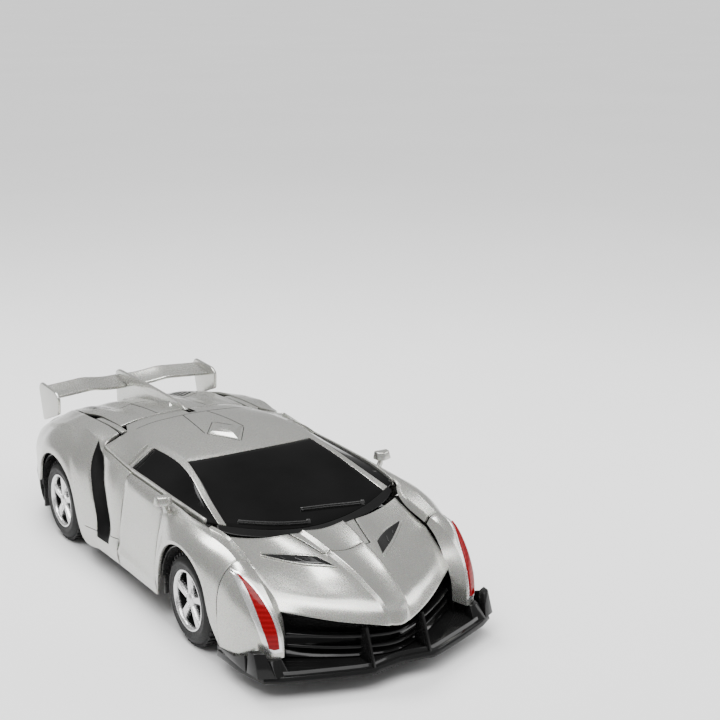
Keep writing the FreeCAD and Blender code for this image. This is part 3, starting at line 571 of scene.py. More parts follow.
def patch(skin, rows, way="down", lift=0.3, sink=0.4, per=4):
    """An insert laid on the skin: rows of 2-D points give its shape in that view."""
    grid = surface([[(a, b, 0) for a, b in row] for row in rows], per)
    out = np.empty(grid.shape)
    normal_at = np.empty(grid.shape)
    for i in range(grid.shape[0]):
        for j in range(grid.shape[1]):
            a, b = grid[i, j, :2]
            place, normal = skin.probe(way, a, b)
            out[i, j] = place if place is not None else (np.nan,) * 3
            normal_at[i, j] = normal if normal is not None else (0, 0, 1)
    bm = bmesh.new()
    top = [[bm.verts.new(p + n * lift) for p, n in zip(pr, nr)] for pr, nr in zip(out, normal_at)]
    low = [[bm.verts.new(p - n * sink) for p, n in zip(pr, nr)] for pr, nr in zip(out, normal_at)]
    rows_n, cols_n = grid.shape[:2]
    for i in range(rows_n - 1):
        for j in range(cols_n - 1):
            bm.faces.new((top[i][j], top[i + 1][j], top[i + 1][j + 1], top[i][j + 1]))
            bm.faces.new((low[i][j], low[i][j + 1], low[i + 1][j + 1], low[i + 1][j]))
    for i in range(rows_n - 1):
        for j in (0, cols_n - 1):
            bm.faces.new((top[i][j], top[i + 1][j], low[i + 1][j], low[i][j]))
    for j in range(cols_n - 1):
        for i in (0, rows_n - 1):
            bm.faces.new((top[i][j], top[i][j + 1], low[i][j + 1], low[i][j]))
    return bm


# ---------------------------------------------------------------- wheels
def arch_z(y, axle):
    """Height of the wheel arch's edge at y."""
    return TYRE_R + math.sqrt(max(ARCH_R**2 - (y - axle) ** 2, 0.0))


def tyre(axle):
    """Rounded carcass with side rings and three rows of slanted tread blocks."""
    x0, x1, r = 40.2, 56.8, TYRE_R - 0.9
    side = [(0.0, 13.25), (0.0, 15.2), (-0.2, 15.6), (-0.2, 16.4), (0.1, 16.8), (0.9, 18.2), (2.4, r - 0.1),
            (4.0, r)]
    profile = [(x0 + a, b) for a, b in side] + [(x1 - a, b) for a, b in reversed(side)]
    carcass = lathe_x(profile, axle, TYRE_R, 96)
    blocks = []
    count = 40
    rows = ((x0 + 1.7, x0 + 5.4, 12, 0.0), (x0 + 6.1, x0 + 10.5, -12, 0.5), (x0 + 11.2, x1 - 1.7, 12, 0.0))
    for low, high, skew, shift in rows:
        for k in range(count):
            lug = block(low, high, axle - 1.05, axle + 1.05, TYRE_R + r - 0.4, 2 * TYRE_R - 0.05)
            turned(lug, skew, ((low + high) / 2, axle, 0), "Z")
            blocks.append(turned(lug, 360 * (k + shift) / count, (0, axle, TYRE_R)))
    return join(carcass, *blocks)


def rim(axle):
    """Narrow lip, five spokes that widen towards it and a plain domed hub."""
    lip = [(56.6, 13.2), (56.7, 12.5), (55.8, 11.7), (54.4, 11.6), (54.4, 13.2)]
    hub = [(56.2, 0.05), (56.1, 1.4), (55.7, 2.1), (55.3, 3.0), (54.2, 3.4), (52.5, 3.4), (52.5, 0.05)]
    parts = [lathe_x(lip, axle, TYRE_R), lathe_x(hub, axle, TYRE_R, 48)]
    low = [(axle - 1.3, TYRE_R + 2.6), (axle + 1.3, TYRE_R + 2.6), (axle + 2.2, TYRE_R + 11.9),
           (axle - 2.2, TYRE_R + 11.9)]
    top = [(axle - 0.9, TYRE_R + 3.0), (axle + 0.9, TYRE_R + 3.0), (axle + 1.6, TYRE_R + 11.7),
           (axle - 1.6, TYRE_R + 11.7)]
    parts += [turned(taper(low, top, "x", 53.4, 55.7), 72 * k, (0, axle, TYRE_R)) for k in range(5)]
    return join(*parts)


def wheel_shade_dish(axle):
    """Near-black dish and barrel behind the spokes: painted shade that darkens the openings between them."""
    profile = [(51.4, 0.05), (51.4, 11.9), (54.3, 12.0), (54.3, 13.1), (41.0, 13.1), (41.0, 12.0),
               (49.6, 11.6), (49.6, 0.05)]
    return lathe_x(profile, axle, TYRE_R, 60)


def wheels():
    """Tyres, rims and painted-shade dishes on all four wheels."""
    for name, _, turn in sides():
        for end, axle in (("front", FRONT_AXLE), ("rear", REAR_AXLE)):
            body = f"{end}_wheel_{name}"
            add_object(f"{end}_tyre_{name}_look", turn(tyre(axle)), "tyre", body, [f"{end}_tyre_{name}"],
                       0.12, 40, 1)
            add_object(f"{end}_rim_{name}_look", turn(rim(axle)), "rim_silver", body, [f"{end}_rim_{name}"],
                       0.18, 40)
            # A near-black dish behind the spokes: painted shade inside the wheel.
            add_object(f"{end}_shade_dish_{name}", turn(wheel_shade_dish(axle)), "dark_gap", body, (), 0.2)


# ---------------------------------------------------------------- bonnet, nose and lights (chest)
def hood_rows():
    """Bonnet from nose to cowl, centre line outwards: raised band, notch edge, flanks."""
    return [
        [(0, -135.2, 24.8), (4.0, -134.2, 25.1), (5.2, -133.6, 24.9), (11.4, -131, 26.0),
         (22, -124.5, 27.2), (33, -116.5, 29.2), (41.4, -110.2, 31.0)],
        [(0, -132.8, 30.0), (4.4, -131.9, 30.6), (5.7, -131.2, 29.9), (11.4, -127.8, 31.2),
         (22, -120.8, 32.6), (33, -112.6, 34.0), (41.4, -105.4, 35.0)],
        [(0, -120.4, 36.4), (6.0, -119.4, 37.7), (7.5, -118.8, 36.7), (11.4, -116.6, 37.2),
         (22, -109.6, 37.4), (33, -103, 38.4), (41.6, -97.4, 39.4)],
        [(0, -95.2, 42.4), (8.0, -94.9, 43.8), (9.6, -94.9, 42.7), (11.8, -94.9, 42.9), (22, -94.5, 41.4),
         (33, -93, 41.6), (42, -91.4, 42.4)],
        [(0, -84, 44.2), (8.8, -84, 45.0), (10.4, -84, 44.6), (14.2, -84, 44.6), (24, -83.5, 43.2),
         (34, -82, 43.8), (42, -80, 45.0)],
        [(0, -76, 45.2), (9.4, -76, 45.8), (11.4, -75.8, 45.4), (16.6, -75.2, 46.0), (26, -72.4, 45.6),
         (35, -70.0, 46.6), (42, -67.8, 48.2)],
    ]


def hood():
    """Bonnet skin with the cowl notch, its two vents and their lips."""
    rows = full(hood_rows())
    count = len(hood_rows()[0])
    middle = count - 1

    def keep(i, j):
        return i < 3 or not middle - 3 <= j < middle + 3
    shell = panel(rows, UP, 6, (3,), both_cols(count, (1, 2)), keep)
    piece = add_object("hood_shell_look", shell, "silver_paint", "chest", ["hood_shell"], 0.3, 24)
    skin = Skin(piece)
    vents, ridges = [], []
    for side in (1, -1):
        outline = [[(side * 34.0, -82.6), (side * 25, -86.2), (side * 15.0, -94.6)],
                   [(side * 34.2, -83.2), (side * 26, -91.0), (side * 11.6, -104.0)]]
        vents.append(patch(skin, outline, lift=0.12, sink=0.5))
        ridges.append(seam(skin, [(side * 34.6, -83.6), (side * 26.2, -91.8), (side * 11.4, -105.2)], 0.8,
                           0.45, per=8))
        ridges.append(seam(skin, [(side * 33.6, -81.9), (side * 24.6, -85.4), (side * 14.4, -93.6)], 0.5,
                           0.25, per=8))
    add_object("hood_vents", join(*vents), "gloss_black", "chest", (), 0.1)
    add_object("hood_vent_lips", join(*ridges), "silver_paint", "chest", (), 0.12)
    slats = []
    for side in (1, -1):
        for t in (0.35, 0.62):
            x0, y0 = side * (34 - 19 * t), -82.6 - 12.0 * t
            x1, y1 = side * (34.2 - 22.6 * t), -83.2 - 20.8 * t
            slats.append(seam(skin, [(x0, y0 - 0.6), ((x0 + x1) / 2, (y0 + y1) / 2), (x1, y1 + 0.8)], 0.5,
                              0.3))
    add_object("hood_vent_slats", join(*slats), "black_plastic", "chest")


def pod_rows():
    """Left front corner from below upwards, from the mouth's edge round to the wing."""
    return [
        [(40.6, -113.6, 16.8), (44.0, -119.0, 15.6), (49.6, -116.2, 14.2), (55.6, -105, 12.6),
         (57.6, POD_REAR, 12.0)],
        [(40.3, -112.6, 26.0), (44.2, -118.0, 26.0), (50.8, -113.6, 25.5), (56.6, -102.5, 26.0),
         (58.4, POD_REAR, 27.0)],
        [(40.5, -107.2, 34.0), (45.2, -112.6, 34.6), (51.4, -108.4, 34.4), (56.2, -100, 35.0),
         (57.6, POD_REAR, 36.0)],
        [(42.2, -98.6, 40.0), (45.4, -103.0, 42.2), (50.2, -101.4, 42.4), (54.4, -96, 41.8),
         (55.6, POD_REAR, 41.2)],
        [(42.9, -90.9, 43.4), (44.8, -90.8, 46.0), (48.8, POD_REAR, 47.0), (52.0, POD_REAR, 45.2),
         (53.6, POD_REAR, 43.8)],
    ]


# The lens and its bezel, rows of (x, z) as seen from the front.
LENS = [[(45.6, 19.6), (47.4, 19.2), (49.0, 19.8)], [(46.0, 27), (48.2, 27), (50.2, 27.2)],
        [(47.2, 34.4), (49.2, 34.6), (51.0, 34.8)],
        [(49.2, 40.0), (50.4, 40.4), (51.5, 40.8)], [(51.2, 43.6), (51.6, 43.8), (51.9, 44.0)]]
BEZEL = [[(44.6, 18.2), (47.4, 17.6), (50.4, 18.2)], [(45.2, 27), (48.2, 27), (51.9, 27.2)],
         [(46.5, 34.8), (49.2, 34.8), (53.0, 35.0)],
         [(48.5, 40.8), (50.8, 41.0), (53.4, 41.2)], [(51.6, 45.4), (52.1, 45.5), (52.8, 45.6)]]


def on_side(rows, side):
    """Rows of (x, z) for the left (1) or right (-1) side."""
    return [[(side * x, z) for x, z in row] for row in rows]


def front_corners():
    """Front corner skins with their lamps; the left ones stand for both CAD corners."""
    for name, side, turn in sides():
        pod = panel(pod_rows(), (0.3, -1, 0.4), 7, (), (1,), clip=(-119.6, POD_REAR))
        pods, lenses = (["headlight_pods"], ["headlight_lenses"]) if side > 0 else ([], [])
        piece = add_object("headlight_pod_" + name, turn(pod), "silver_paint", "chest", pods, 0.3, 30)
        skin = Skin(piece)
        lens = patch(skin, on_side(LENS, side), "front", 1.0, 0.3, 6)
        add_object("headlight_lens_" + name, lens, "red_lens", "chest", lenses, 0.3, 35)
        bezel = patch(skin, on_side(BEZEL, side), "front", 0.45, 0.3, 6)
        add_object("headlight_bezel_" + name, bezel, "rim_silver", "chest", (), 0.2, 40)


def nose():
    """Black air dam: back panel, two bars, slanted struts, and the splitter blade with its corner fins."""
    back = panel(full([
        [(0, -131.0, 23.6), (14, -126.2, 24.6), (28, -117.4, 26.6), (38.6, -109.8, 29.4),
         (45.0, -104.8, 31.5)],
        level(17.5, (0, -124), (14, -120), (28, -112.5), (39.4, -106.4), (45.0, -104)),
        level(11.2, (0, -130), (14, -126), (28, -118.4), (39.6, -110.5), (45.0, -107))]),
        FORWARD, 5, inner=-1.5)
    add_object("nose_grille_look", back, "gloss_black", "chest", ["nose_grille"], 0.2)
    bars = []
    for z, push in ((20.6, 0.6), (15.8, 0.2)):
        rows = [[(0, -130.6 - push, z), (14, -126.4 - push, z), (28, -118.8 - push, z + 0.4),
                 (39.8, -110.8, z + 1.2)],
                [(0, -126.0, z - 1.0), (14, -122.0, z - 1.0), (28, -114.6, z - 0.6),
                 (39.8, -108.0, z + 0.2)]]
        bars.append(panel(full(rows), UP, 5, inner=-1.1))
    add_object("grille_bars", join(*bars), "gloss_black", "chest", (), 0.25)
    cheek = prism([(-111.5, 10.6), (-96.0, 10.6), (-96.0, 31.0), (-103.0, 33.0), (-108.5, 30.0)], "x", 42.4,
                  43.4)
    add_object("mouth_cheeks", twin(cheek), "gloss_black", "chest")
    struts = []
    for side in (1, -1):
        struts.append(prism([(-137.0, 9.9), (-134.2, 9.9), (-128.6, 24.4), (-130.8, 25.0)], "x",
                            side * 13.3 - 0.5, side * 13.3 + 0.5))
        struts.append(prism([(-133.4, 9.9), (-125.2, 9.9), (-127.0, 24.0), (-128.6, 24.4)], "x",
                            side * 13.3 - 0.3, side * 13.3 + 0.3))
    add_object("nose_struts", join(*struts), "gloss_black", "chest", (), 0.15)
    blade = [(0, -135.6), (11, -137.2), (14, -137.9), (19, -136.6), (33, -131.6), (48, -125.6),
             (54.6, -121.4), (57.6, -108), (58.5, -89.8)]
    back_edge = [(54.6, -89.8), (51, -103), (40, -108), (28, -113), (0, -117)]
    half = blade + back_edge
    whole = half + [(-x, y) for x, y in reversed(half) if x > 0]
    top = [(x * 0.992, y * 0.994) for x, y in whole]
    ridge = [[(x * k, y * k, z) for x, y in blade] for k, z in ((0.985, 10.3), (0.975, 11.8))]
    lip = panel(full(ridge), FORWARD, 3, (), both_cols(len(blade), (2, 3, 6)), inner=-1.0)
    add_object("splitter_look", join(taper(whole, top, "z", 8.0, 10.4), lip), "gloss_black", "chest",
               ["splitter"], 0.3, 30)
    fin = taper([(50.4, -124.0), (56.6, -120.8), (57.6, -113.0), (51.6, -116.6)],
                [(52.6, -119.6), (56.4, -117.4), (57.0, -113.6), (53.4, -115.4)], "z", 10.2, 19.5)
    slab = taper([(44.2, -123.8), (50.6, -124.4), (51.8, -116.4), (45.2, -116.0)],
                 [(45.4, -119.8), (50.2, -119.0), (51.0, -115.4), (46.0, -115.4)], "z", 10.2, 15.4)
    tail = prism([(-112.6, 10.2), (-104, 10.2), (-91, 10.2), (-90.6, 12.2), (-103, 13.2), (-112.0, 17.0)],
                 "x", 56.6, 57.8)
    add_object("splitter_fins", twin(join(fin, slab, tail)), "gloss_black", "chest", (), 0.3, 30)
    ribs = [block(s * x - 0.5, s * x + 0.5, -126 + x * 0.42, -112 + x * 0.1, 10.3, 12.4)
            for x in (22, 31) for s in (1, -1)]
    add_object("splitter_ribs", join(*ribs), "gloss_black", "chest", (), 0.15)


# ---------------------------------------------------------------- cabin (torso)
def cabin_rows():
    """Screen, roof and side glass, from the screen's foot to the roof's rear edge, centre line outwards."""
    return [
        [(0, -71, 45.6), (14, -70, 46.4), (28, -67, 48.4), (39, -62.8, 50.8), (42, -61.6, 51.6),
         (46.2, -59, 52.8)],
        [(0, -48, 54.0), (13.5, -47.6, 54.2), (27, -45.5, 54.8), (36.4, -43, 55.8), (39.2, -42, 56.0),
         (48.0, -39, 54.2)],
        [(0, -28, 59.8), (12.5, -27.8, 59.8), (25, -26.4, 60), (33.4, -25, 60.4), (36.2, -24, 60.4),
         (48.4, -20, 54.6)],
        [(0, -14, 63.0), (12, -13.8, 62.9), (24, -13, 62.7), (31.6, -12, 62.6), (35.2, -11, 62.2),
         (48.4, -6, 54.8)],
        station(12, (0, 65.2), (12, 65.0), (24, 64.6), (33, 64.0), (36.6, 63.0), (48.4, 54.8)),
        [(0, 28, 65.8), (12, 28, 65.5), (24, 28, 64.8), (33.4, 27, 63.4), (37.2, 25, 62.2),
         (48.3, 24, 55.6)],
        [(0, 55, 64.6), (12, 55, 64.2), (24, 55, 63.1), (31.2, 54.6, 61.4), (34.6, 46, 61.0),
         (47.6, 42.2, 57.6)],
    ]


def cabin():
    """Roof skin with its glass, scoop and lines."""
    rows = full(cabin_rows())
    count = len(cabin_rows()[0])
    last = len(rows[0]) - 2

    def is_screen(i, j):
        return i < SCREEN_ROWS and 2 <= j <= last - 2

    def is_side_glass(i, j):
        return i < GLASS_ROWS and j in (0, last)

    def is_roof(i, j):
        return not is_screen(i, j) and not is_side_glass(i, j)

    sharp = both_cols(count, (3, 4))
    shell = panel(rows, UP, 6, (), sharp, is_roof)
    roof = add_object("roof_shell_look", notch_roof(shell), "silver_paint", "torso", ["roof_shell"], 0.25,
                      30)
    glass = panel(rows, UP, 6, (), sharp, is_screen, outer=-0.25, inner=-1.3)
    screen = add_object("windshield_look", glass, "black_glass", "torso", ["windshield"], 0.2, 40)
    for name, column in (("right", 0), ("left", last)):
        pane = panel(rows, UP, 6, (), sharp, lambda i, j: i < GLASS_ROWS and j == column, outer=-0.2,
                     inner=-1.3)
        stands_for = ["side_windows"] if name == "left" else []
        add_object("side_window_" + name, pane, "black_glass", "torso", stands_for, 0.2, 40)
    skin = Skin(roof)
    add_object("roof_scoop", scoop_piece(), "silver_paint", "torso", (), 0.25, 30)
    slot_covers()
    window_rails()
    lines = [seam(skin, [(s * 10.2, 13.0), (s * 8.4, 30), (s * 6.4, 44.0)], 0.4) for s in (1, -1)]
    lines.append(seam(skin, [(-31.2, 43.2), (-20, 43.8), (-2, 44), (2, 44), (20, 43.8), (31.2, 43.2)], 0.4))
    for s in (1, -1):
        lines.append(seam(skin, [(s * 0.4, -3.2), (s * 9.6, 11.6), (s * 0.4, 24.6)], 0.35, corners=(1,)))
    add_object("roof_lines", join(*lines), "dark_gap", "torso")
    cowl_and_wipers(Skin(screen))


def rail(points, width, high):
    """A slim square strip along a 3-D line."""
    line = spline(points, 6)
    bm = bmesh.new()
    rings = []
    for k, p in enumerate(line):
        step = line[min(k + 1, len(line) - 1)] - line[max(k - 1, 0)]
        out = Vector((math.copysign(1, p[0]), 0, 0))
        up = Vector(step).cross(out).normalized()
        up = up if up.z > 0 else -up
        corners = ((-0.5, -0.5), (0.5, -0.5), (0.5, 0.5), (-0.5, 0.5))
        rings.append([bm.verts.new(Vector(p) + out * a * width + up * b * high) for a, b in corners])
    return tube(bm, rings)


def window_rails():
    """The strip below the side glass and two thin posts across it."""
    low = [(46.0, -59, 53.1), (47.6, -39, 54.5), (47.9, -20, 54.9), (47.9, -6, 55.1), (47.9, 12, 55.2),
           (47.8, 24, 55.9), (47.2, 41, 57.6)]
    parts = [rail([(x + 0.5, y, z - 1.1) for x, y, z in low], 1.1, 3.6)]
    post = [(48.3, 11, 55.2), (43.0, 11.6, 59.6), (37.0, 12.6, 63.0)]
    parts += [rail([(x + 0.2, y + d, z + 0.25) for x, y, z in post], 0.9, 0.9) for d in (0.0, 5.2)]
    add_object("window_rails", twin(join(*parts)), "silver_paint", "torso", (), 0.25)


def notch_roof(shell):
    """Opens the narrow slot in the rear edge where the tail fin nests."""
    middles = [(f, f.calc_center_median()) for f in shell.faces]
    inside = [f for f, middle in middles if abs(middle.x) < 1.5 and middle.y > 47.0]
    bmesh.ops.delete(shell, geom=inside, context="FACES")
    return shell


def slot_covers():
    """Silver caps over the hip arms that close the slots in the engine cover when the car is folded."""
    outline = [(47.6, 61.0), (56, 61.0), (66, 60.5), (78, 59.6), (78, 58.4), (66, 59.2), (56, 59.7),
               (47.6, 59.7)]
    cap = prism(outline, "x", 33.7, 36.9)
    tie = block(34.2, 36.8, 56, 76, 50.5, 59.3)
    add_object("hip_slot_caps", twin(cap), "silver_paint", "torso", (), 0.3)
    add_object("hip_slot_ties", twin(tie), "black_plastic", "torso", (), 0.2)


def scoop_piece():
    """A low diamond intake on the roof."""
    low = [(0, -3.5), (10.6, 12.0), (0, 24.0), (-10.6, 12.0)]
    top = [(0, 3.6), (7.4, 12.0), (0, 20.4), (-7.4, 12.0)]
    rim = taper(low, top, "z", 63.4, 66.1)
    well_top = [(0, 6.6), (5.4, 12.2), (0, 17.4), (-5.4, 12.2)]
    spine = taper(well_top, [(0, 10.0), (2.2, 12.2), (0, 14.6), (-2.2, 12.2)], "z", 66.0, 66.5)
    return join(rim, spine)


def cowl_and_wipers(skin):
    """Black strip between the bonnet and the screen, and two parked wipers."""
    rows = [[(0, -74.4, 44.2), (14, -73.4, 44.8), (28, -70.4, 45.8), (39, -66.2, 48.0),
             (43.5, -63.4, 49.6)],
            [(0, -70.9, 45.2), (14, -69.9, 46.0), (28, -66.9, 48.0), (39, -62.7, 50.4),
             (42.6, -61.4, 51.2)]]
    add_object("cowl_strip", panel(full(rows), UP, 6, inner=-1.0), "gloss_black", "torso", (), 0.2)
    parts = []
    for points in (((-3, -68.8), (-16, -66.6), (-33, -61.4)), ((26, -66.0), (10, -62.5), (-2, -60.8))):
        parts.append(seam(skin, points, 1.5, 0.75, per=8))
        parts.append(seam(skin, points, 0.6, 1.3, per=8))
    for x, y in ((-3, -68.6), (26, -66.0)):
        place, _ = skin.down(x, y)
        parts.append(disc_z(x, y, 1.3, place.z - 0.4, place.z + 1.5, 20, 0.7))
    add_object("wipers", join(*parts), "black_plastic", "torso", (), 0.12, 40)


# ---------------------------------------------------------------- front wing, door and mirror (forearms)
def fender_rows():
    """Front wing, bottom lip first; the last columns rise to the crest beside the bonnet."""
    f = FRONT_AXLE
    return [
        station(WING_FRONT, (57.6, 12.4), (58.4, 27), (57.6, 36), (55.6, 41.2), (53.2, 44.2), (48.8, 47.0),
                (44.6, 46.0), (43.0, 43.6)),
        station(-84.5, (58.6, 20.4), (58.9, 30), (57.9, 38), (56.0, 43), (53.4, 46.0), (48.8, 48.6),
                (44.2, 47.4), (42.8, 44.9)),
        station(-78, (59.3, arch_z(-78, f)), (59.2, 39), (58.4, 42), (57.0, 45), (54.4, 47.6), (49.4, 50.0),
                (44.2, 48.6), (42.8, 46.2)),
        station(-70, (59.5, arch_z(-70, f)), (59.3, 43.8), (58.6, 45.2), (57.4, 47.0), (55.0, 49.2),
                (50.6, 51.2), (45.0, 50.2), (43.4, 48.6)),
        station(-60, (59.6, arch_z(-60, f)), (59.4, 45.6), (58.6, 46.6), (57.4, 48.2), (55.2, 50.2),
                (51.8, 52.0), (48.8, 52.2), (47.6, 51.8)),
        station(-50, (59.5, arch_z(-50, f)), (59.3, 44.0), (58.4, 45.6), (57.0, 47.8), (55.0, 50.2),
                (52.6, 52.2), (50.5, 53.1), (49.7, 53.2)),
        station(-42, (59.2, arch_z(-42, f)), (59.0, 39.6), (58.0, 42.6), (56.4, 46.6), (54.4, 50.2),
                (52.6, 52.4), (50.9, 53.6), (49.9, 53.9)),
        station(-36.2, (58.6, 26.5), (58.6, 32), (57.4, 38), (55.6, 45), (53.8, 50.0), (52.4, 52.4),
                (50.9, 53.7), (49.9, 54.1)),
        station(WING_REAR, (57.8, 12.8), (58.6, 24), (57.4, 35), (55.4, 44), (53.6, 49.8), (52.3, 52.4),
                (50.9, 53.7), (49.9, 54.2)),
    ]


def door_rows():
    """Door skin from the wing to the rear body, bottom edge first."""
    return [
        station(DOOR_FRONT, (57.8, 12.8), (58.5, 18.5), (58.4, 21), (57.6, 34), (55.4, 44), (53.4, 50.4),
                (51.6, 53.2), (49.9, 54.2)),
        station(-14, (57.5, 12.4), (58.5, 18.6), (57.8, 21.4), (56.4, 34), (54.9, 43), (53.6, 49.6),
                (51.8, 52.9), (49.9, 54.2)),
        station(DOOR_REAR, (57.3, 12.0), (58.3, 18.8), (57.2, 22.0), (55.6, 35.5), (54.4, 42.5),
                (53.2, 49.6),
                (51.8, 52.9), (49.9, 54.4)),
    ]


def arms():
    """Wing, door, arch liner, wheel cover and mirror on each forearm, and its link bar."""
    for name, _, turn in sides():
        body = "forearm_" + name
        wing = panel(fender_rows(), (1, 0, 0.5), 5, (7,), (1, 5, 6), clip=(WING_FRONT, WING_REAR))
        add_object("front_wing_" + name, turn(wing), "silver_paint", body, ["fender_door_" + name], 0.3, 30)
        door = panel(door_rows(), (1, 0, 0.5), 6, (), (1, 2, 5), clip=(DOOR_FRONT, DOOR_REAR))
        add_object("door_skin_" + name, turn(door), "silver_paint", body, (), 0.3, 26)
        web = block(49.6, 55.6, -36.4, -35.4, 14.0, 44.0)
        add_object("door_front_web_" + name, turn(web), "black_plastic", body, (), 0.2)
        add_object("front_arch_liner_" + name, turn(arch_liner(FRONT_AXLE)), "black_plastic", body)
        cover_piece(name, turn, body)
        mirror_piece(name, turn, body)
        link_piece(name, turn)


def arch_liner(axle, low=8, high=172):
    """Dark half tube over a wheel."""
    bm = bmesh.new()
    rings = []
    steps = 30
    wall = rect(40.2, 57.0, 23.4, 23.0)
    for k in range(steps + 1):
        t = math.radians(low + (high - low) * k / steps)
        rings.append([bm.verts.new((x, axle + r * math.cos(t), TYRE_R + r * math.sin(t))) for x, r in wall])
    return tube(bm, rings)


def cover_piece(name, turn, body):
    """Grey inner cover of the wheel with a rounded rim and a round cap, plus the elbow fork."""
    f = FRONT_AXLE
    outline = rounded_outline([(f - 21, 10.5), (f - 21, 32), (f - 12, 40.4), (f + 12, 40.4), (f + 21, 33),
                               (f + 21.6, 10.5), (f + 8, 9), (f - 8, 9)], 7)
    plate = prism(outline, "x", 38.25, 39.5)
    inner = [(f + (a - f) * 0.86, 24.5 + (b - 24.5) * 0.86) for a, b in outline]
    raised = prism(inner, "x", 37.7, 38.3)
    add_object("wheel_cover_look_" + name, turn(join(plate, raised)), "grey_plastic", body,
               ["wheel_cover_" + name], 0.35, 30)
    cap = join(disc_x(f, TYRE_R, 4.6, 36.9, 37.8, 40), disc_x(f, TYRE_R, 2.6, 36.5, 37.0, 32),
               *[turned(block(36.5, 37.0, f - 0.5, f + 0.5, TYRE_R + 2.9, TYRE_R + 4.2), 60 * k,
                        (0, f, TYRE_R)) for k in range(6)])
    add_object("wheel_cap_" + name, turn(cap), "rim_silver", body, (), 0.15)
    fork = [prism(rounded_box(31.8, 39.0, -46, -38, 2.5), "z", z0, z1)
            for z0, z1 in ((26.9, 29.6), (37.9, 39.7))]
    post = block(38.9, 42.0, -45.5, -38.2, 26.9, 39.7)
    pin = disc_z(35, -42, 1.5, 28.5, 38.5)
    pin_head = disc_z(35, -42, 2.2, 39.6, 40.3, top=0.8)
    add_object("elbow_fork_" + name, turn(join(*fork, post, pin, pin_head)), "black_plastic", body, (), 0.3)


def link_piece(name, turn):
    """The bar between the torso and a forearm."""
    bar = prism(rounded_box(32.6, 37.4, -86.8, -39.2, 2.4, 6), "z", 30.1, 37.5)
    rib = prism(rect(33.6, 36.4, -80, -46), "z", 29.95, 30.2)
    groove = [block(37.3, 37.75, -79, -47, z, z + 1.2) for z in (31.4, 35.0)]
    add_object("arm_link_look_" + name, turn(join(bar, rib, *groove)), "black_plastic", "link_" + name,
               ["arm_link_" + name], 0.3)


def mirror_piece(name, turn, body):
    """Mirror head on a curved stalk at the front of the window."""
    path = ((52.6, -36.4, 50.8, 2.4, 1.7), (54.0, -37.2, 52.6, 1.5, 1.0), (54.6, -37.2, 54.6, 1.3, 0.9),
            (55.2, -36.6, 55.8, 1.9, 1.1))
    octagon = ((-1, -0.5), (-0.5, -1), (0.5, -1), (1, -0.5), (1, 0.5), (0.5, 1), (-0.5, 1), (-1, 0.5))
    stalk = bmesh.new()
    rings = []
    for x, y, z, half_x, half_y in path:
        rings.append([stalk.verts.new((x + half_x * a, y + half_y * b, z)) for a, b in octagon])
    tube(stalk, rings)
    low = rounded_outline([(51.4, -39.0), (54.5, -41.0), (59.2, -39.2), (59.5, -35.4), (51.6, -34.8)], 1.0)
    top = rounded_outline([(52.0, -38.4), (54.7, -40.0), (58.6, -38.4), (58.8, -35.5), (52.2, -35.0)], 0.8)
    head = taper(low, top, "z", 55.2, 58.8)
    add_object("mirror_look_" + name, turn(join(stalk, head)), "silver_paint", body, ["mirror_" + name],
               0.45, 40, 3)
    glass = prism(rounded_outline([(52.8, 55.9), (58.2, 55.9), (58.0, 58.0), (53.0, 58.0)], 0.7), "y",
                  -34.95, -34.6)
    add_object("mirror_glass_" + name, turn(glass), "gloss_black", body, (), 0.08)


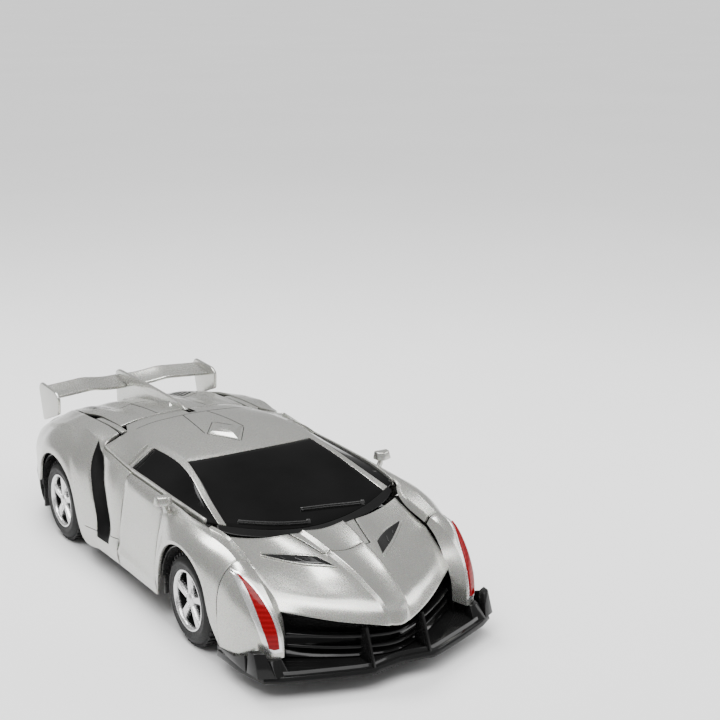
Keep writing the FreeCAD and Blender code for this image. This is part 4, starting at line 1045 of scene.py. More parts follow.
# ---------------------------------------------------------------- rear body
def quarter_rows():
    """Rear quarter from the door seam to the tail, bottom edge first, up over the haunch."""
    y5, y7 = REAR_AXLE - 18, REAR_AXLE + 18
    return [
        station(QUARTER_FRONT, (57.2, 12.0), (58.3, 18.8), (56.8, 24.0), (55.2, 38), (53.4, 46),
                (51.8, 53.0),
                (49.8, 54.6)),
        [(57.4, 18, 11.9), (58.2, 18, 18.6), (56.2, 20, 25), (55.0, 26, 38), (53.2, 32, 47),
         (51.0, 35, 55.4), (49.2, 33.4, 56.6)],
        [(57.4, 25, 11.8), (58.0, 25, 18.0), (51.6, 26, 25), (50.0, 33, 38), (48.6, 39, 47),
         (49.4, 43.6, 56.0), (48.9, 43.0, 57.2)],
        [(57.5, 32, 11.6), (58.0, 32, 17.6), (57.7, 32, 25), (56.5, 39, 38), (53.5, 46, 49),
         (47.0, 51.0, 58.2), (38.4, 47.4, 60.7)],
        [(58.0, 50, 11.5), (58.3, 50, 18), (58.5, 51, 26), (58.2, 54, 37), (55.0, 60, 50), (47.0, 64, 59.4),
         (37.9, 64, 60.5)],
        [(58.6, 56.4, 24.4), (58.8, 56.4, 27.0), (58.8, 57, 31), (58.2, 59, 40), (55.0, 63, 51.4),
         (46.6, 67, 59.2), (37.9, 67, 60.3)],
        [(59.0, y5, arch_z(y5, REAR_AXLE)), (59.0, 62, 38.6), (58.8, 63, 41), (57.8, 65.5, 46),
         (54.6, 69, 53.4), (46.0, 72, 58.8), (37.9, 72, 60.1)],
        [(59.4, 71, arch_z(71, REAR_AXLE)), (59.3, 71, 44.2), (59.0, 71.4, 45.8), (57.8, 73, 49),
         (54.4, 75, 54.0), (45.6, 78, 58.4), (37.9, 78, 59.7)],
        [(59.5, REAR_AXLE, arch_z(REAR_AXLE, REAR_AXLE)), (59.4, 80, 45.8), (59.0, 80, 47.2),
         (57.6, 80.5, 49.8), (54.0, 82, 54), (45.0, 84, 57.5), (37.9, 84, 59.2)],
        [(59.4, 89, arch_z(89, REAR_AXLE)), (59.3, 89, 44.2), (58.8, 89, 46.0), (57.2, 89, 49),
         (53.2, 90, 53.2), (44.4, 91, 56.4), (37.2, 91, 58.4)],
        [(59.0, y7, arch_z(y7, REAR_AXLE)), (58.9, 98, 38.6), (58.4, 98, 42), (56.8, 98, 46.2),
         (52.0, 98, 51.6), (44.0, 98, 54.8), (36.0, 98, 57.0)],
        [(58.2, 104.2, 24), (57.8, 105, 29), (57.2, 106, 34), (56.0, 107, 41.5), (51.0, 108, 48.0),
         (43.0, 110, 51.8), (34.0, 110, 54.8)],
        [(52.8, 121, 30), (52.8, 121.5, 33), (52.6, 122, 36), (51.2, 122, 40.5), (47.4, 122, 45.0),
         (41.0, 122, 48.4), (32.0, 122, 51.8)],
        [(46.0, 134, 31), (46.0, 134.5, 34), (46.0, 134.5, 36.5), (45.4, 134.5, 39.5), (42.2, 134, 42.6),
         (37.0, 133, 45.2), (30.0, 132.5, 47.8)],
    ]


def quarter(name, turn):
    """Rear quarter skin with its side intake, slats and arch liner; the intake is a near-black sheet of
    painted shade.
    """
    def is_intake(i, j):
        return (i == 2 and 1 <= j <= 4) or (i == 1 and 1 <= j <= 2)

    shell = panel(quarter_rows(), (1, 0, 0.6), 5, (3, 5), (5,), lambda i, j: not is_intake(i, j),
                  clip=(QUARTER_FRONT, 138.0))
    piece = add_object("rear_quarter_look_" + name, turn(shell), "silver_paint", "rear_body",
                       ["rear_quarter_" + name], 0.3, 30)
    # The intake's cells are filled with a near-black sheet just under the skin: painted shade standing in
    # for the deep recess.
    recess_shade = panel(quarter_rows(), (1, 0, 0.6), 5, (3, 5), (5,), is_intake, clip=(QUARTER_FRONT, 138.0),
                   outer=-0.15)
    add_object("intake_painted_shade_" + name, turn(recess_shade), "dark_gap", "rear_body", (), 0.1)
    slats = [block(47.8, 51.2, 28.0 + 0.55 * (z - 26), 29.0 + 0.55 * (z - 26), z, z + 0.9)
             for z in (27, 32, 37, 42)]
    add_object("intake_slats_" + name, turn(join(*slats)), "black_plastic", "rear_body", (), 0.15)
    add_object("rear_arch_liner_" + name, turn(arch_liner(REAR_AXLE, 4, 176)), "black_plastic", "rear_body")
    line = seam(Skin(piece), [(9.0, 24.0), (20, 22.4), (32, 20.6), (46, 18.6)], 0.35, 0.04, name)
    add_object("quarter_line_" + name, line, "dark_gap", "rear_body")


def deck_rows():
    """Engine cover from the roof seam to the tail, centre line outwards, with a shallow trough each side."""
    return [
        station(57, (0, 64.2), (12, 63.8), (20, 63.2), (26, 62.4), (33.1, 60.8)),
        station(70, (0, 62.9), (12, 62.6), (19, 61.6), (26, 61.6), (33.1, 60.3)),
        station(84, (0, 61.0), (12, 60.8), (18, 59.4), (26, 60.2), (33.1, 59.3)),
        station(98, (0, 58.6), (12, 58.4), (17, 56.8), (26, 58.2), (34.6, 57.2)),
        station(110, (0, 56.2), (12, 56.0), (17, 54.6), (25, 55.8), (32.8, 55.0)),
        station(122, (0, 52.6), (12, 52.6), (17, 52.0), (24, 52.4), (30.8, 51.8)),
        station(132.5, (0, 48.4), (12, 48.4), (17, 48.3), (23, 48.2), (28.8, 47.8)),
    ]


def deck():
    """Engine cover with its lines and vents, the tail fin and the tail panel."""
    count = len(deck_rows()[0])
    shell = panel(full(deck_rows()), UP, 5, (), both_cols(count, (1, 3)))
    piece = add_object("engine_deck_look", shell, "silver_paint", "rear_body", ["engine_deck"], 0.25, 24)
    skin = Skin(piece)
    lines = [seam(skin, [(s * 2, 92), (s * 10, 93), (s * 22, 95), (s * 33, 96)], 0.4) for s in (1, -1)]
    lines += [seam(skin, [(s * 13.2, 58), (s * 12.6, 75), (s * 12.2, 92)], 0.35) for s in (1, -1)]
    add_object("deck_lines", join(*lines), "dark_gap", "rear_body")
    vents = []
    for s in (1, -1):
        for k in range(4):
            y = 100 + 4.2 * k
            upper = [(s * 20, y), (s * 25, y), (s * 29.5, y + 0.4)]
            lower = [(s * 20, y + 2.2), (s * 25, y + 2.2), (s * 29, y + 2.4)]
            vents.append(patch(skin, [upper, lower], lift=0.1))
    add_object("deck_vents", join(*vents), "gloss_black", "rear_body")
    outline = [(52, 64.6), (56, 66.0), (62, 66.6), (100, 66.95), (134.5, 66.2), (137.0, 64.4), (136.5, 46),
               (132, 47.2), (122, 51.4), (98, 57.4), (84, 59.8), (58, 63.0)]
    fin = prism(rounded_outline(outline, 1.0), "x", -0.9, 0.9)
    add_object("tail_fin", fin, "silver_paint", "rear_body", (), 0.45, 40, 3)
    foot = taper([(-3.2, 66), (3.2, 66), (2.6, 130), (-2.6, 130)], rect(-0.8, 0.8, 70, 128), "z", 0, 3.2)
    slope = math.atan2(48.6 - 63.2, 130.0 - 66.0)
    bmesh.ops.rotate(foot, verts=foot.verts, cent=(0, 66, 0), matrix=Matrix.Rotation(slope, 3, "X"))
    bmesh.ops.translate(foot, verts=foot.verts, vec=(0, 0, 62.6))
    add_object("tail_fin_foot", foot, "silver_paint", "rear_body", (), 0.3)
    rows = full([[(0, 134.6, 47.6), (26, 134.4, 47.4), (37.4, 134.9, 44.8)],
                 [(0, 137.0, 39), (26, 136.8, 38.8), (45.2, 135.6, 38.0)],
                 [(0, 136.8, 31.2), (26, 136.6, 31.2), (45.4, 135.5, 31.2)]])
    add_object("tail_panel", panel(rows, BACKWARD, 6, inner=-1.2), "silver_paint", "rear_body", (), 0.2)


def wing():
    """The wing's two halves and their end plates; the left half stands for the CAD wing."""
    for name, side, turn in sides():
        rows = []
        for y, lift in ((119.4, 0.0), (126.4, 0.9), (133.2, 2.7)):
            rows.append([(1.0, y + 3, 60.6 + lift), (9, y + 2, 60.8 + lift), (20, y, 62.6 + lift),
                         (23, y - 0.4, 62.8 + lift), (33, y - 2.2, 62.6 + lift),
                         (43.4, y - 4, 62.4 + lift)])
        blade = panel(rows, UP, 5, (), (2, 3), inner=-1.5)
        stands_for = ["rear_wing"] if side > 0 else []
        add_object("wing_blade_" + name, turn(blade), "silver_paint", "rear_body", stands_for, 0.35, 30)
        outline = rounded_outline([(108.4, 55.0), (107.8, 64.0), (112.0, 66.0), (131.6, 66.6),
                                   (134.2, 63.4), (129.6, 46.6), (121.6, 49.8)], 1.6)
        plate = prism(outline, "x", 43.4, 45.0)
        add_object("wing_plate_" + name, turn(plate), "silver_paint", "rear_body", (), 0.45, 40, 3)


def tail():
    """Black bumper with the diffuser's fins, tail pipes, lamps and grille."""
    rows = full([
        [(0, 137.0, 30.8), (24, 136.8, 30.8), (40, 135.8, 30.8), (46.0, 134.0, 30.8), (52.4, 121.5, 30.0),
         (57.2, 107.0, 23)],
        [(0, 137.8, 24), (24, 137.4, 24), (40, 136.2, 24), (47.6, 134.0, 24), (53.4, 121.0, 23),
         (57.2, 106.6, 19)],
        [(0, 134.5, 18), (24, 134.2, 18), (40, 133.4, 18), (46.4, 131.6, 18), (52.4, 120.0, 17.6),
         (56.6, 106.6, 15)],
        [(0, 136.0, 10.4), (24, 135.6, 10.4), (40, 134.6, 10.4), (45, 133.0, 10.6), (51, 120, 11),
         (55.8, 106.6, 11.6)]])
    bumper = panel(rows, BACKWARD, 5, (1, 2), both_cols(6, (3, 4)), inner=-1.4)
    add_object("rear_bumper_look", bumper, "gloss_black", "rear_body", ["rear_bumper"], 0.3, 30)
    fins = [prism([(120, 8.0), (137.4, 8.6), (137.4, 17.0), (133.5, 18.6), (120, 12)], "x", x - 0.6,
                  x + 0.6)
            for x in (-32, -20, -8, 8, 20, 32)]
    add_object("diffuser_fins", join(*fins), "gloss_black", "rear_body", (), 0.2)
    pipes = [turned(lathe_x(rect(-4, 4, 3.0, 2.4), 0, 0, 40), 90, (0, 0, 0), "Z") for _ in range(2)]
    for s, pipe in zip((1, -1), pipes):
        bmesh.ops.translate(pipe, verts=pipe.verts, vec=(s * 4.0, 133.6, 27.4))
    add_object("tail_pipes", join(*pipes), "chrome_plated", "rear_body", (), 0.15)
    bars = []
    for x0, z0, x1, z1 in ((27.5, 40.9, 42.5, 38.6), (27.5, 37.6, 36.0, 36.2), (36.4, 36.2, 43.5, 33.6)):
        low = [(x0, z0), (x1, z1), (x1 - 0.6, z1 - 1.9), (x0, z0 - 1.9)]
        bars.append(prism(rounded_outline(low, 0.5, 3), "y", 136.0, 137.7))
    add_object("tail_lamp_bars", twin(join(*bars)), "red_lens", "rear_body", ["tail_lamps"], 0.2)
    mesh_bars = [block(-25, 25, 136.6, 137.5, z, z + 0.7) for z in (33.2, 35.2, 37.2, 39.2, 41.2)]
    add_object("tail_grille", join(*mesh_bars), "gloss_black", "rear_body", (), 0.15)


# ---------------------------------------------------------------- robot body (torso)
# The three pointed plates on each side: middle y, outer tip's x and half height.
RIBS = ((-27.0, 38.0, 6.2), (-11.0, 35.5, 5.6), (3.0, 33.5, 5.2))


def rib_outline(y, out, half, grow):
    """A notched plate with a pointed outer end, made larger all round by grow."""
    return [(10 - grow, y - half * 0.4), (12 - grow, y - half - grow), (out - 8, y - half - grow),
            (out + grow, y - 1), (out - 9, y + half + grow), (11 - grow, y + half + grow),
            (14 - grow * 0.4, y + 1)]


def tilted(bm, cx, cy, degrees):
    """Turns a piece drawn about the origin and moves it to (cx, cy)."""
    turned(bm, degrees, (0, 0, 0), "Z")
    bmesh.ops.translate(bm, verts=bm.verts, vec=(cx, cy, 0))
    return bm


def bar_outline(length, width, radius):
    """A rounded rectangle about the origin."""
    a, b = length / 2, width / 2
    return rounded_box(-a, a, -b, b, radius, 5)


def ring_prism(outer, inner, low, high):
    """A flat frame between two outlines with the same number of points."""
    bm = bmesh.new()
    count = len(outer)
    loops = [[bm.verts.new((a, b, z)) for a, b in line]
             for line, z in ((outer, low), (inner, low), (inner, high), (outer, high))]
    for k in range(count):
        n = (k + 1) % count
        for i in range(4):
            p, q = loops[i], loops[(i + 1) % 4]
            bm.faces.new((p[k], p[n], q[n], q[k]))
    return bm


def torso_cover():
    """The robot's black front: middle column, plate seats with round buttons, and the waist blocks."""
    plate = prism(rounded_box(-29.5, 29.5, -35, 36, 2.5), "z", 17.5, 19.0)
    column = taper([(-8, -35), (8, -35), (6.4, -8), (7.4, 12), (-7.4, 12), (-6.4, -8)],
                   [(-6.2, -35), (6.2, -35), (4.4, -8), (5.4, 12), (-5.4, 12), (-4.4, -8)], "z", 18.0, 15.2)
    parts = [plate, column]
    parts.append(taper([(-8.4, 12), (8.4, 12), (7.4, 34), (-7.4, 34)],
                       [(-6.6, 12.6), (6.6, 12.6), (6.2, 32), (-6.2, 32)], "z", 18.0, 14.6))
    parts.append(taper(rect(-3, 3, -34, 11), rect(-1.8, 1.8, -33, 10), "z", 15.3, 14.3))
    for y, out, half in RIBS:
        low = [(8, y - half - 1.8), (out - 6, y - half - 1.8), (out + 2.0, y - 1),
               (out - 7, y + half + 1.8), (8, y + half + 1.8)]
        top = [(8.6, y - half - 1.2), (out - 6.6, y - half - 1.2), (out + 1.2, y - 1),
               (out - 7.6, y + half + 1.2), (8.6, y + half + 1.2)]
        parts.append(twin(taper(low, top, "z", 18.0, 15.4)))
        parts.append(twin(disc_z(19, y - 0.4, 2.3, 13.6, 13.2, 32, 0.9)))
        parts.append(twin(disc_z(19, y - 0.4, 1.8, 13.25, 12.45, 32, 0.6)))
    for length, width, z0, z1 in ((25, 13.5, 18.0, 15.6), (23.5, 12.2, 15.7, 14.6)):
        parts.append(twin(tilted(prism(bar_outline(length, width, 3), "z", z1, z0), 20, 19, 16)))
    parts.append(twin(tilted(prism(bar_outline(13.6, 4.2, 1.6), "z", 13.9, 14.7), 19.5, 18.5, 16)))
    add_object("torso_cover_look", join(*parts), "black_plastic", "torso", ["torso_front_cover"], 0.4, 35)


def torso_trim():
    """Silver and gold plates on the robot's front."""
    white, dull, gold = [], [], []
    for y, out, half in RIBS:
        gold.append(twin(prism(rib_outline(y, out, half, 0.0), "z", 14.4, 15.4)))
        split = 24.5
        p0, p1, p2, p3, p4, p5, p6 = rib_outline(y, out - 1.6, half - 1.0, -0.9)
        white.append(twin(prism([p0, p1, (split, p1[1]), (split, p5[1]), p5, p6], "z", 13.5, 14.5)))
        dull.append(twin(taper([(split + 0.05, p1[1]), p2, p3, p4, (split + 0.05, p5[1])],
                               [(split + 0.05, p1[1] + 0.8), (p2[0] - 0.6, p2[1] + 0.8),
                                (p3[0] - 1.2, p3[1]), (p4[0] - 0.6, p4[1] - 0.8),
                                (split + 0.05, p5[1] - 0.8)], "z", 14.5, 13.6)))
    add_object("rib_plates_inner", join(*white), "white_silver_trim", "torso", ["silver_trim"], 0.2)
    add_object("rib_plates_outer", join(*dull), "trim_grey", "torso", (), 0.2)
    frame_ring = ring_prism(bar_outline(19, 9.2, 3), bar_outline(14, 4.6, 1.5), 13.0, 14.6)
    gold.append(twin(tilted(frame_ring, 19.5, 18.5, 16)))
    gold.append(prism([(-7, 22), (-4.4, 21.4), (0, 27), (4.4, 21.4), (7, 22), (7, 27), (0, 34), (-7, 27)],
                      "z", 13.7, 14.7))
    add_object("gold_trim_look", join(*gold), "gold_trim", "torso", ["gold_trim"], 0.25)
    pieces = [prism(rounded_outline([(-4.6, 12.8), (-1.6, 13.8), (1.6, 13.8), (4.6, 12.8), (4.0, 21.4),
                                     (0, 26.2), (-4.0, 21.4)], 0.6, 3), "z", 13.5, 14.7)]
    low = [(17.6, 29.6), (30.4, 25.2), (33.6, 21.0), (35.0, 23.4), (31.6, 29.4), (19.2, 34.0)]
    pieces.append(twin(prism(low, "z", 13.7, 14.9)))
    pieces.append(twin(prism([(31.4, 12.0), (33.4, 12.4), (35.0, 20.0), (33.4, 21.0)], "z", 14.0, 15.2)))
    add_object("hip_trim", join(*pieces), "white_silver_trim", "torso", (), 0.3)


def legs():
    """Leg covers with knee plates, copper bars and the parts between the legs."""
    low = [(12, 36.5), (27, 34.5), (29, 42), (28, 52), (29, 60), (28, 70), (13, 70), (12, 52)]
    top = [(13.4, 37.5), (25.8, 36), (27.6, 42), (26.8, 52), (27.6, 60), (26.8, 69), (14.2, 69), (13.4, 52)]
    parts = [twin(taper(low, top, "z", 22.5, 19.4)), twin(prism(low, "z", 22.5, 26.0))]
    parts.append(twin(taper(rect(13, 28, 30, 41), rect(14.6, 26, 31, 39.6), "z", 26.9, 18.8)))
    for y0, y1 in ((53.2, 54.2), (61.4, 62.6), (67.0, 69.4)):
        parts.append(twin(block(13.4, 27.8, y0, y1, 18.5, 20.0)))
    add_object("leg_covers_look", join(*parts), "black_plastic", "torso", ["leg_covers"], 0.5, 35)
    knees = twin(taper([(14.2, 43.6), (19.8, 40.6), (26.6, 43.6), (26.0, 52.6), (14.6, 52.6)],
                        [(15.4, 44.6), (19.8, 42.2), (25.4, 44.6), (24.9, 51.6), (15.7, 51.6)], "z", 19.5,
                        17.9))
    add_object("knee_plates", knees, "trim_grey", "torso", (), 0.25)
    bars = [twin(prism(rounded_box(14.8, 26.4, y0, y1, 0.6, 3), "z", 18.1, 19.5))
            for y0, y1 in ((54.6, 61.0), (63.0, 66.4))]
    add_object("copper_bars_look", join(*bars), "copper_trim", "torso", ["copper_bars"], 0.25)
    belt = prism(rounded_box(-6.5, 6.5, 38, 41.6, 0.8), "z", 18.4, 19.6)
    add_object("belt_bar", belt, "trim_grey", "torso", (), 0.3)
    inner = [prism(rounded_box(-11.5, 11.5, 36, 46, 1.0), "z", 19.5, 23.0)]
    inner += [twin(block(4.0, 6.4, 45, 69, 20.5, 24.0))]
    inner += [block(-11.8, 11.8, y, y + 1.6, 21.4, 24.0) for y in (50, 56, 62)]
    add_object("leg_bridge", join(*inner), "black_plastic", "torso", (), 0.35)


def torso_inside():
    """Dark lining under the roof and the ribs behind the front cover."""
    rows = full(cabin_rows())
    last = len(rows[0]) - 2
    lining = panel(rows, UP, 4, (), (), lambda i, j: i < 6 and 2 <= j <= last - 2, outer=-1.45,
                   inner=-2.0)
    add_object("roof_lining", notch_roof(lining), "black_plastic", "torso")
    ribs = []
    for x in (-24, -8, 8, 24):
        ribs.append(block(x - 0.5, x + 0.5, -30, 34, 24.9, 27.2))
    for y in (-30, -10, 10, 30):
        ribs.append(block(-29, 29, y - 0.5, y + 0.5, 25.2, 27.2))
    for x, y in ((-20, -20), (20, -20), (-20, 20), (20, 20)):
        ribs.append(disc_z(x, y, 3.0, 23.8, 27.2))
    add_object("torso_ribs", join(*ribs), "black_plastic", "torso", (), 0.15)


# ---------------------------------------------------------------- head
def head():
    """The robot's head on its ribbed neck, and the cowl flap that hides it in the car."""
    rows = full([[(0, -94.6, 42.5), (8.0, -94.4, 43.9), (9.6, -94.3, 42.8), (11.2, -94.2, 43.0)],
                 station(-84, (0, 44.6), (9.0, 45.8), (10.7, 44.7), (13.5, 44.8)),
                 [(0, -76.2, 45.6), (9.8, -75.8, 46.7), (11.6, -75.6, 45.7), (15.8, -75.2, 46.1)]])
    creases = both_cols(4, (1, 2))
    flap = panel(rows, UP, 6, (), creases)
    add_object("cowl_flap_look", flap, "silver_paint", "head", ["cowl_flap"], 0.25)
    lining = panel(rows, UP, 6, (), creases, outer=-1.35, inner=-1.8)
    brace = taper(rect(-2.4, 2.4, -79, -72), rect(-4, 4, -84, -73), "z", 29.3, 43.2)
    add_object("flap_lining", join(lining, brace), "black_plastic", "head", (), 0.15)
    neck = [prism(rounded_box(-4.5, 4.5, 17.2, 25, 2.6, 6), "y", -62, -36)]
    fold = rounded_box(-5.4, 5.4, 16.5, 25.4, 3.2, 6)
    neck += [prism(fold, "y", -61.2 + 2.6 * k, -60.0 + 2.6 * k) for k in range(8)]
    add_object("neck", join(*neck), "black_plastic", "head", (), 0.3)
    add_object("helmet", helmet(), "gloss_black", "head", ["head_helmet"], 0.45, 35, 3)
    ears = [twin(join(disc_x(-69, 23.5, 3.3, 8.0, 9.0, 40), disc_x(-69, 23.5, 2.0, 8.9, 9.7, 32)))]
    ears.append(twin(prism([(-79.2, 24), (-72.6, 25.2), (-72.6, 22.4)], "x", 8.2, 9.2)))
    add_object("ear_discs", join(*ears), "chrome_plated", "head", (), 0.2)
    face()


def helmet():
    """Rounded skull open at the front, with a stepped crest; the face looks towards -Z."""
    shape = [(-7.4, -61), (-8.4, -66), (-8.2, -72), (-6.4, -77), (-3.4, -79.6), (3.4, -79.6), (6.4, -77),
             (8.2, -72), (8.4, -66), (7.4, -61)]
    back = [(x * 0.72, -69 + (y + 69) * 0.78) for x, y in shape]
    skull = taper(shape, back, "z", 20.0, 29.2)
    brow = prism([(-8.2, -71.6), (-6.2, -77), (-3.4, -79.6), (3.4, -79.6), (6.2, -77), (8.2, -71.6),
                  (5.0, -72.4), (0, -71.0), (-5.0, -72.4)],
                 "z", 16.6, 20.6)
    cheeks = twin(prism([(5.6, -61.5), (8.0, -62.5), (8.3, -70.8), (6.2, -70.4)], "z", 16.4, 20.6))
    crest = prism([(-79.9, 16.4), (-74.2, 15.2), (-73.4, 16.8), (-76, 29.0), (-79.6, 27.4)], "x", -1.3, 1.3)
    collar = prism(rounded_box(-6.4, 6.4, 17.6, 27, 2), "y", -61.6, -60.2)
    return join(skull, brow, cheeks, crest, collar)


def face():
    """A plain mask: one wide glossy visor over a smooth wedge-shaped guard with two level grooves."""
    plate = prism(rounded_outline([(-5.6, -72.2), (5.6, -72.2), (5.9, -67.4), (4.6, -62.0), (2.6, -60.8),
                                   (-2.6, -60.8), (-4.6, -62.0), (-5.9, -67.4)], 0.8), "z", 16.6, 20.4)
    bar = prism([(-5.6, -72.6), (0, -72.0), (5.6, -72.6), (5.5, -71.3), (0, -70.9), (-5.5, -71.3)], "z",
                15.2, 17)
    guard = taper([(-5.4, -67.6), (5.4, -67.6), (3.4, -61.2), (-3.4, -61.2)],
                  [(-2.6, -67.0), (2.6, -67.0), (1.5, -62.0), (-1.5, -62.0)], "z", 16.8, 14.7)
    add_object("face_mask", join(plate, bar, guard), "trim_grey", "head", ["head_face"], 0.25)
    visor = taper([(-5.3, -70.7), (5.3, -70.7), (5.0, -68.0), (-5.0, -68.0)],
                  [(-4.4, -70.4), (4.4, -70.4), (4.2, -68.3), (-4.2, -68.3)], "z", 16.8, 15.5)
    grooves = [block(-1.9 + 0.2 * k, 1.9 - 0.2 * k, y, y + 0.3, 14.6, 14.85)
               for k, y in enumerate((-65.6, -64.2))]
    add_object("face_visor", join(visor, *grooves), "gloss_black", "head", (), 0.12)


# ---------------------------------------------------------------- foot
def on_slope(bm):
    """Moves a relief drawn as (x, distance up the slope, height) on to the foot's sloping face."""
    tilt = math.atan2(35.0, 24.0)
    for v in bm.verts:
        x, along, out = v.co
        v.co = (x, 74 + along * math.cos(tilt) - out * math.sin(tilt),
                8 + along * math.sin(tilt) + out * math.cos(tilt))
    return bm


def loop_outlines(cx, low, high, outer, inner):
    """Two arches, one inside the other, for the raised loops."""
    def shape(r):
        arc = [(cx + r * math.cos(math.radians(t)),
                high - outer + r * math.sin(math.radians(t))) for t in range(0, 181, 15)]
        return arc + [(cx - r, low), (cx + r, low)]
    return shape(outer), shape(inner)


def foot():
    """Silver foot block with the raised bars, barrel and loops on its sloping face."""
    side = [(74.6, 8), (106, 8), (106, 40.5), (103.5, 43), (98.4, 43), (95.6, 40.6), (88, 29.6),
            (74.0, 9.4)]
    body = prism(side, "x", -27.0, 27.0)
    cheeks = twin(prism([(75.4, 8.0), (106, 8.0), (106, 38), (96, 37.5), (82, 17.5)], "x", 26.8, 27.5))
    add_object("foot_body", join(body, cheeks), "silver_paint", "foot", ["foot_block"], 0.8, 35, 3)
    parts = [prism([(-27, 1.0), (27, 1.0), (24.5, 5.2), (-24.5, 5.2)], "z", RELIEF_LOW, 0.8)]
    for k in range(3):
        a, b = 30.6 + 3.3 * k, 33.2 + 3.3 * k
        bar = rounded_box(8.5, 24.6, a, b, 0.6, 3)
        parts.append(twin(prism(bar, "z", RELIEF_LOW, 1.25)))
    parts.append(prism(rounded_box(-4.4, 4.4, 30, 41, 0.8), "z", RELIEF_LOW, 0.7))
    parts.append(prism(rounded_outline([(-26, 7.2), (26, 7.2), (22, 9.0), (-22, 9.0)], 0.5, 3), "z",
                       RELIEF_LOW, 0.6))
    arc = ((9.6, 0), (10.2, 30), (12.0, 62), (14.6, 90), (17.2, 62), (19.0, 30), (19.6, 0), (19.6, -25),
           (9.6, -25))
    barrel = prism([(a, 1.0 + 2.6 * math.sin(math.radians(t))) for a, t in arc], "x", -5.0, 5.0)
    for k in (-1, 1):
        parts.append(prism([(k * 5.0, 12.2), (k * 11.8, 9.6), (k * 11.8, 19.2), (k * 5.0, 16.8)], "z",
                           RELIEF_LOW, 1.4))
    parts.append(barrel)
    parts = [on_slope(p) for p in parts]
    add_object("foot_relief_look", join(*parts), "silver_paint", "foot", ["foot_relief"], 0.3, 35)
    loops = []
    for sign in (1, -1):
        outer, inner = loop_outlines(sign * 17.4, 9.5, 27.0, 4.6, 2.6)
        loops.append(on_slope(ring_prism(outer, inner, RELIEF_LOW, 2.0)))
        loops.append(on_slope(prism([(sign * 5.2, 13.6), (sign * 20.2, 16.2), (sign * 20.2, 18.0),
                                     (sign * 5.2, 15.6)], "z", 0.6, 1.8)))
    add_object("foot_loops", join(*loops), "rim_silver", "foot", (), 0.35)


def rear_pillars():
    """Capped posts beside the foot, splash panels behind the rear wheels and skirts by the battery box."""
    post = prism([(51, 8.2), (68, 8.2), (68, 47), (62, 50), (53, 43), (51, 22)], "x", 29.4, 33.2)
    facing = prism([(50.4, 9), (51.4, 9), (51.4, 22), (53, 42), (52, 42), (50.4, 22)], "x", 30.2, 32.4)
    add_object("foot_pillars", twin(join(post, facing)), "black_plastic", "rear_body", (), 0.4)
    cap = taper(rect(29.8, 32.8, 52.6, 61.2), rect(30.6, 32.0, 56.4, 60.4), "z", 44.4, 50.8)
    add_object("pillar_caps", twin(cap), "silver_paint", "rear_body", (), 0.3)
    add_object("rear_splash_panels", twin(block(46.2, 55.6, 105.6, 106.8, 8.6, 25.0)), "black_plastic",
               "rear_body", (), 0.2)
    add_object("battery_skirts", twin(block(47.0, 48.4, 106.4, 127.0, 5.2, 15.0)), "black_plastic",
               "rear_body", (), 0.2)


# ---------------------------------------------------------------- underside
def underside():
    """Ribs, screw seats and slots, battery door grips and the switch knob under the car."""
    ribs = [block(-26 + 13 * k - 0.6, -26 + 13 * k + 0.6, 22, 98, 4.55, 5.2) for k in range(5)]
    ribs += [block(-26.6, 26.6, y - 0.6, y + 0.6, 4.55, 5.2) for y in (22, 41, 60, 79, 98)]
    frame_out = rounded_box(31.4, 46.4, 31.6, 40.4, 1.2)
    frame_in = rounded_box(33.0, 45.0, 33.0, 39.0, 0.8)
    ribs.append(ring_prism(frame_out, frame_in, 4.4, 5.2))
    ribs += [ring_disc(x, y, 3.4, 2.25, 4.5, 5.3) for x, y in SCREWS]
    add_object("floor_ribs", join(*ribs), "black_plastic", "rear_body", (), 0.12)
    grips = [block(-44 + 22 * a, -44 + 22 * a + 12, y, y + 0.9, 4.6, 5.15)
             for a in range(4) for y in (111, 113.4, 115.8)]
    latch = prism(rounded_outline([(-7, 126.6), (7, 126.6), (5.4, 130.4), (-5.4, 130.4)], 1), "z", 4.4, 5.2)
    add_object("battery_door_grips", join(latch, *grips), "black_plastic", "rear_body", (), 0.12)
    crosses = []
    for x, y in SCREWS:
        crosses.append(block(x - 1.1, x + 1.1, y - 0.25, y + 0.25, 5.2, 5.32))
        crosses.append(block(x - 0.25, x + 0.25, y - 1.1, y + 1.1, 5.2, 5.32))
    add_object("screw_slots", join(*crosses), "dark_gap", "rear_body")
    knob = [block(34.2, 38.8, 34.2, 37.8, 3.2, 7.6)]
    knob += [block(34.6 + 1.0 * k, 35.0 + 1.0 * k, 34.2, 37.8, 3.0, 3.4) for k in range(4)]
    add_object("power_knob", join(*knob), "black_plastic", "switch", ["power_switch"], 0.15)


def ring_disc(x, y, outer, inner, low, high, steps=32):
    """A flat washer."""
    return ring_prism(circle(x, y, outer, steps), circle(x, y, inner, steps), low, high)


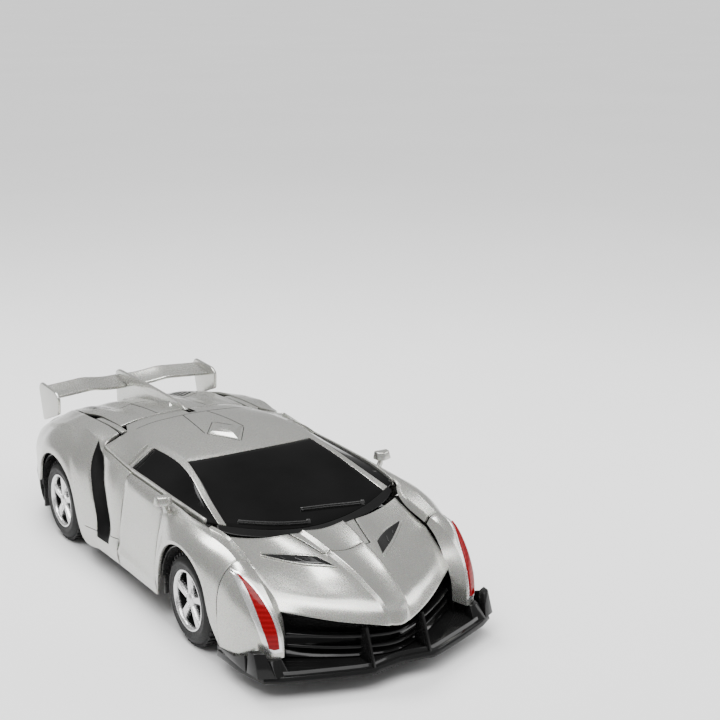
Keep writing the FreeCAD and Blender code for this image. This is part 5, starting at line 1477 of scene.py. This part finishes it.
# ---------------------------------------------------------------- studio
def studio():
    """Pale floor, soft world light, three lamps and a broad sun."""
    floor_mat = finish_material("floor", grey(0.84), grey(0.87), 0.0, 0.7, 3.0, 40.0, 0.01, 0.0, 0.1, 0.05)
    bm = bmesh.new()
    corners = ((-1, -1), (1, -1), (1, 1), (-1, 1))
    bm.faces.new([bm.verts.new((FLOOR_HALF * a, FLOOR_HALF * b, 0)) for a, b in corners])
    mesh = bpy.data.meshes.new("floor")
    bm.to_mesh(mesh)
    bm.free()
    mesh.transform(Matrix.Scale(MM, 4))
    mesh.materials.append(floor_mat)
    floor = bpy.data.objects.new("floor", mesh)
    bpy.context.scene.collection.objects.link(floor)
    world = bpy.data.worlds.new("studio")
    bpy.context.scene.world = world
    world.use_nodes = True
    background = world.node_tree.nodes["Background"]
    background.inputs[0].default_value = (0.87, 0.87, 0.87, 1)
    background.inputs[1].default_value = WORLD_STRENGTH
    for name, place, size, power in LAMPS:
        data = bpy.data.lights.new(name, "AREA")
        data.shape = "RECTANGLE"
        data.size, data.size_y = size * MM, size * 0.7 * MM
        data.energy = power
        lamp = bpy.data.objects.new(name, data)
        bpy.context.scene.collection.objects.link(lamp)
        lamp.location = Vector(place) * MM
        aim = Vector(LAMP_TARGET) * MM - lamp.location
        lamp.rotation_euler = aim.to_track_quat("-Z", "Y").to_euler()
    data = bpy.data.lights.new("sun", "SUN")
    data.energy = SUN_STRENGTH
    data.angle = math.radians(50)
    sun = bpy.data.objects.new("sun", data)
    bpy.context.scene.collection.objects.link(sun)
    sun.rotation_euler = Vector(SUN_DIRECTION).to_track_quat("-Z", "Y").to_euler()


def camera():
    """The one camera: in front of the car, to its right and a little above it."""
    data = bpy.data.cameras.new("camera")
    data.lens = CAMERA_LENS
    data.sensor_width = 36.0
    data.clip_start, data.clip_end = 0.01, 50
    eye = bpy.data.objects.new("camera", data)
    bpy.context.scene.collection.objects.link(eye)
    eye.location = Vector(CAMERA_PLACE) * MM
    elevation, azimuth = math.radians(CAMERA_DOWN), math.radians(CAMERA_TURN)
    eye.rotation_euler = (math.pi / 2 - elevation, 0, azimuth)
    bpy.context.scene.camera = eye


def dress_cad():
    """Gives the CAD pieces that stay visible the finish of their material slot."""
    slots = {entry["node"]: entry["material_slot"] for entry in frame["record"]["subparts"]}
    for node, obj in frame["nodes"].items():
        obj.data.materials.clear()
        obj.data.materials.append(MATS[slots[node]])


def build():
    """Every piece, body by body, then the studio and the camera."""
    dress_cad()
    wheels()
    hood()
    front_corners()
    nose()
    cabin()
    arms()
    for name, _, turn in sides():
        quarter(name, turn)
    deck()
    wing()
    tail()
    torso_cover()
    torso_trim()
    legs()
    torso_inside()
    head()
    foot()
    rear_pillars()
    underside()
    studio()
    camera()


build()
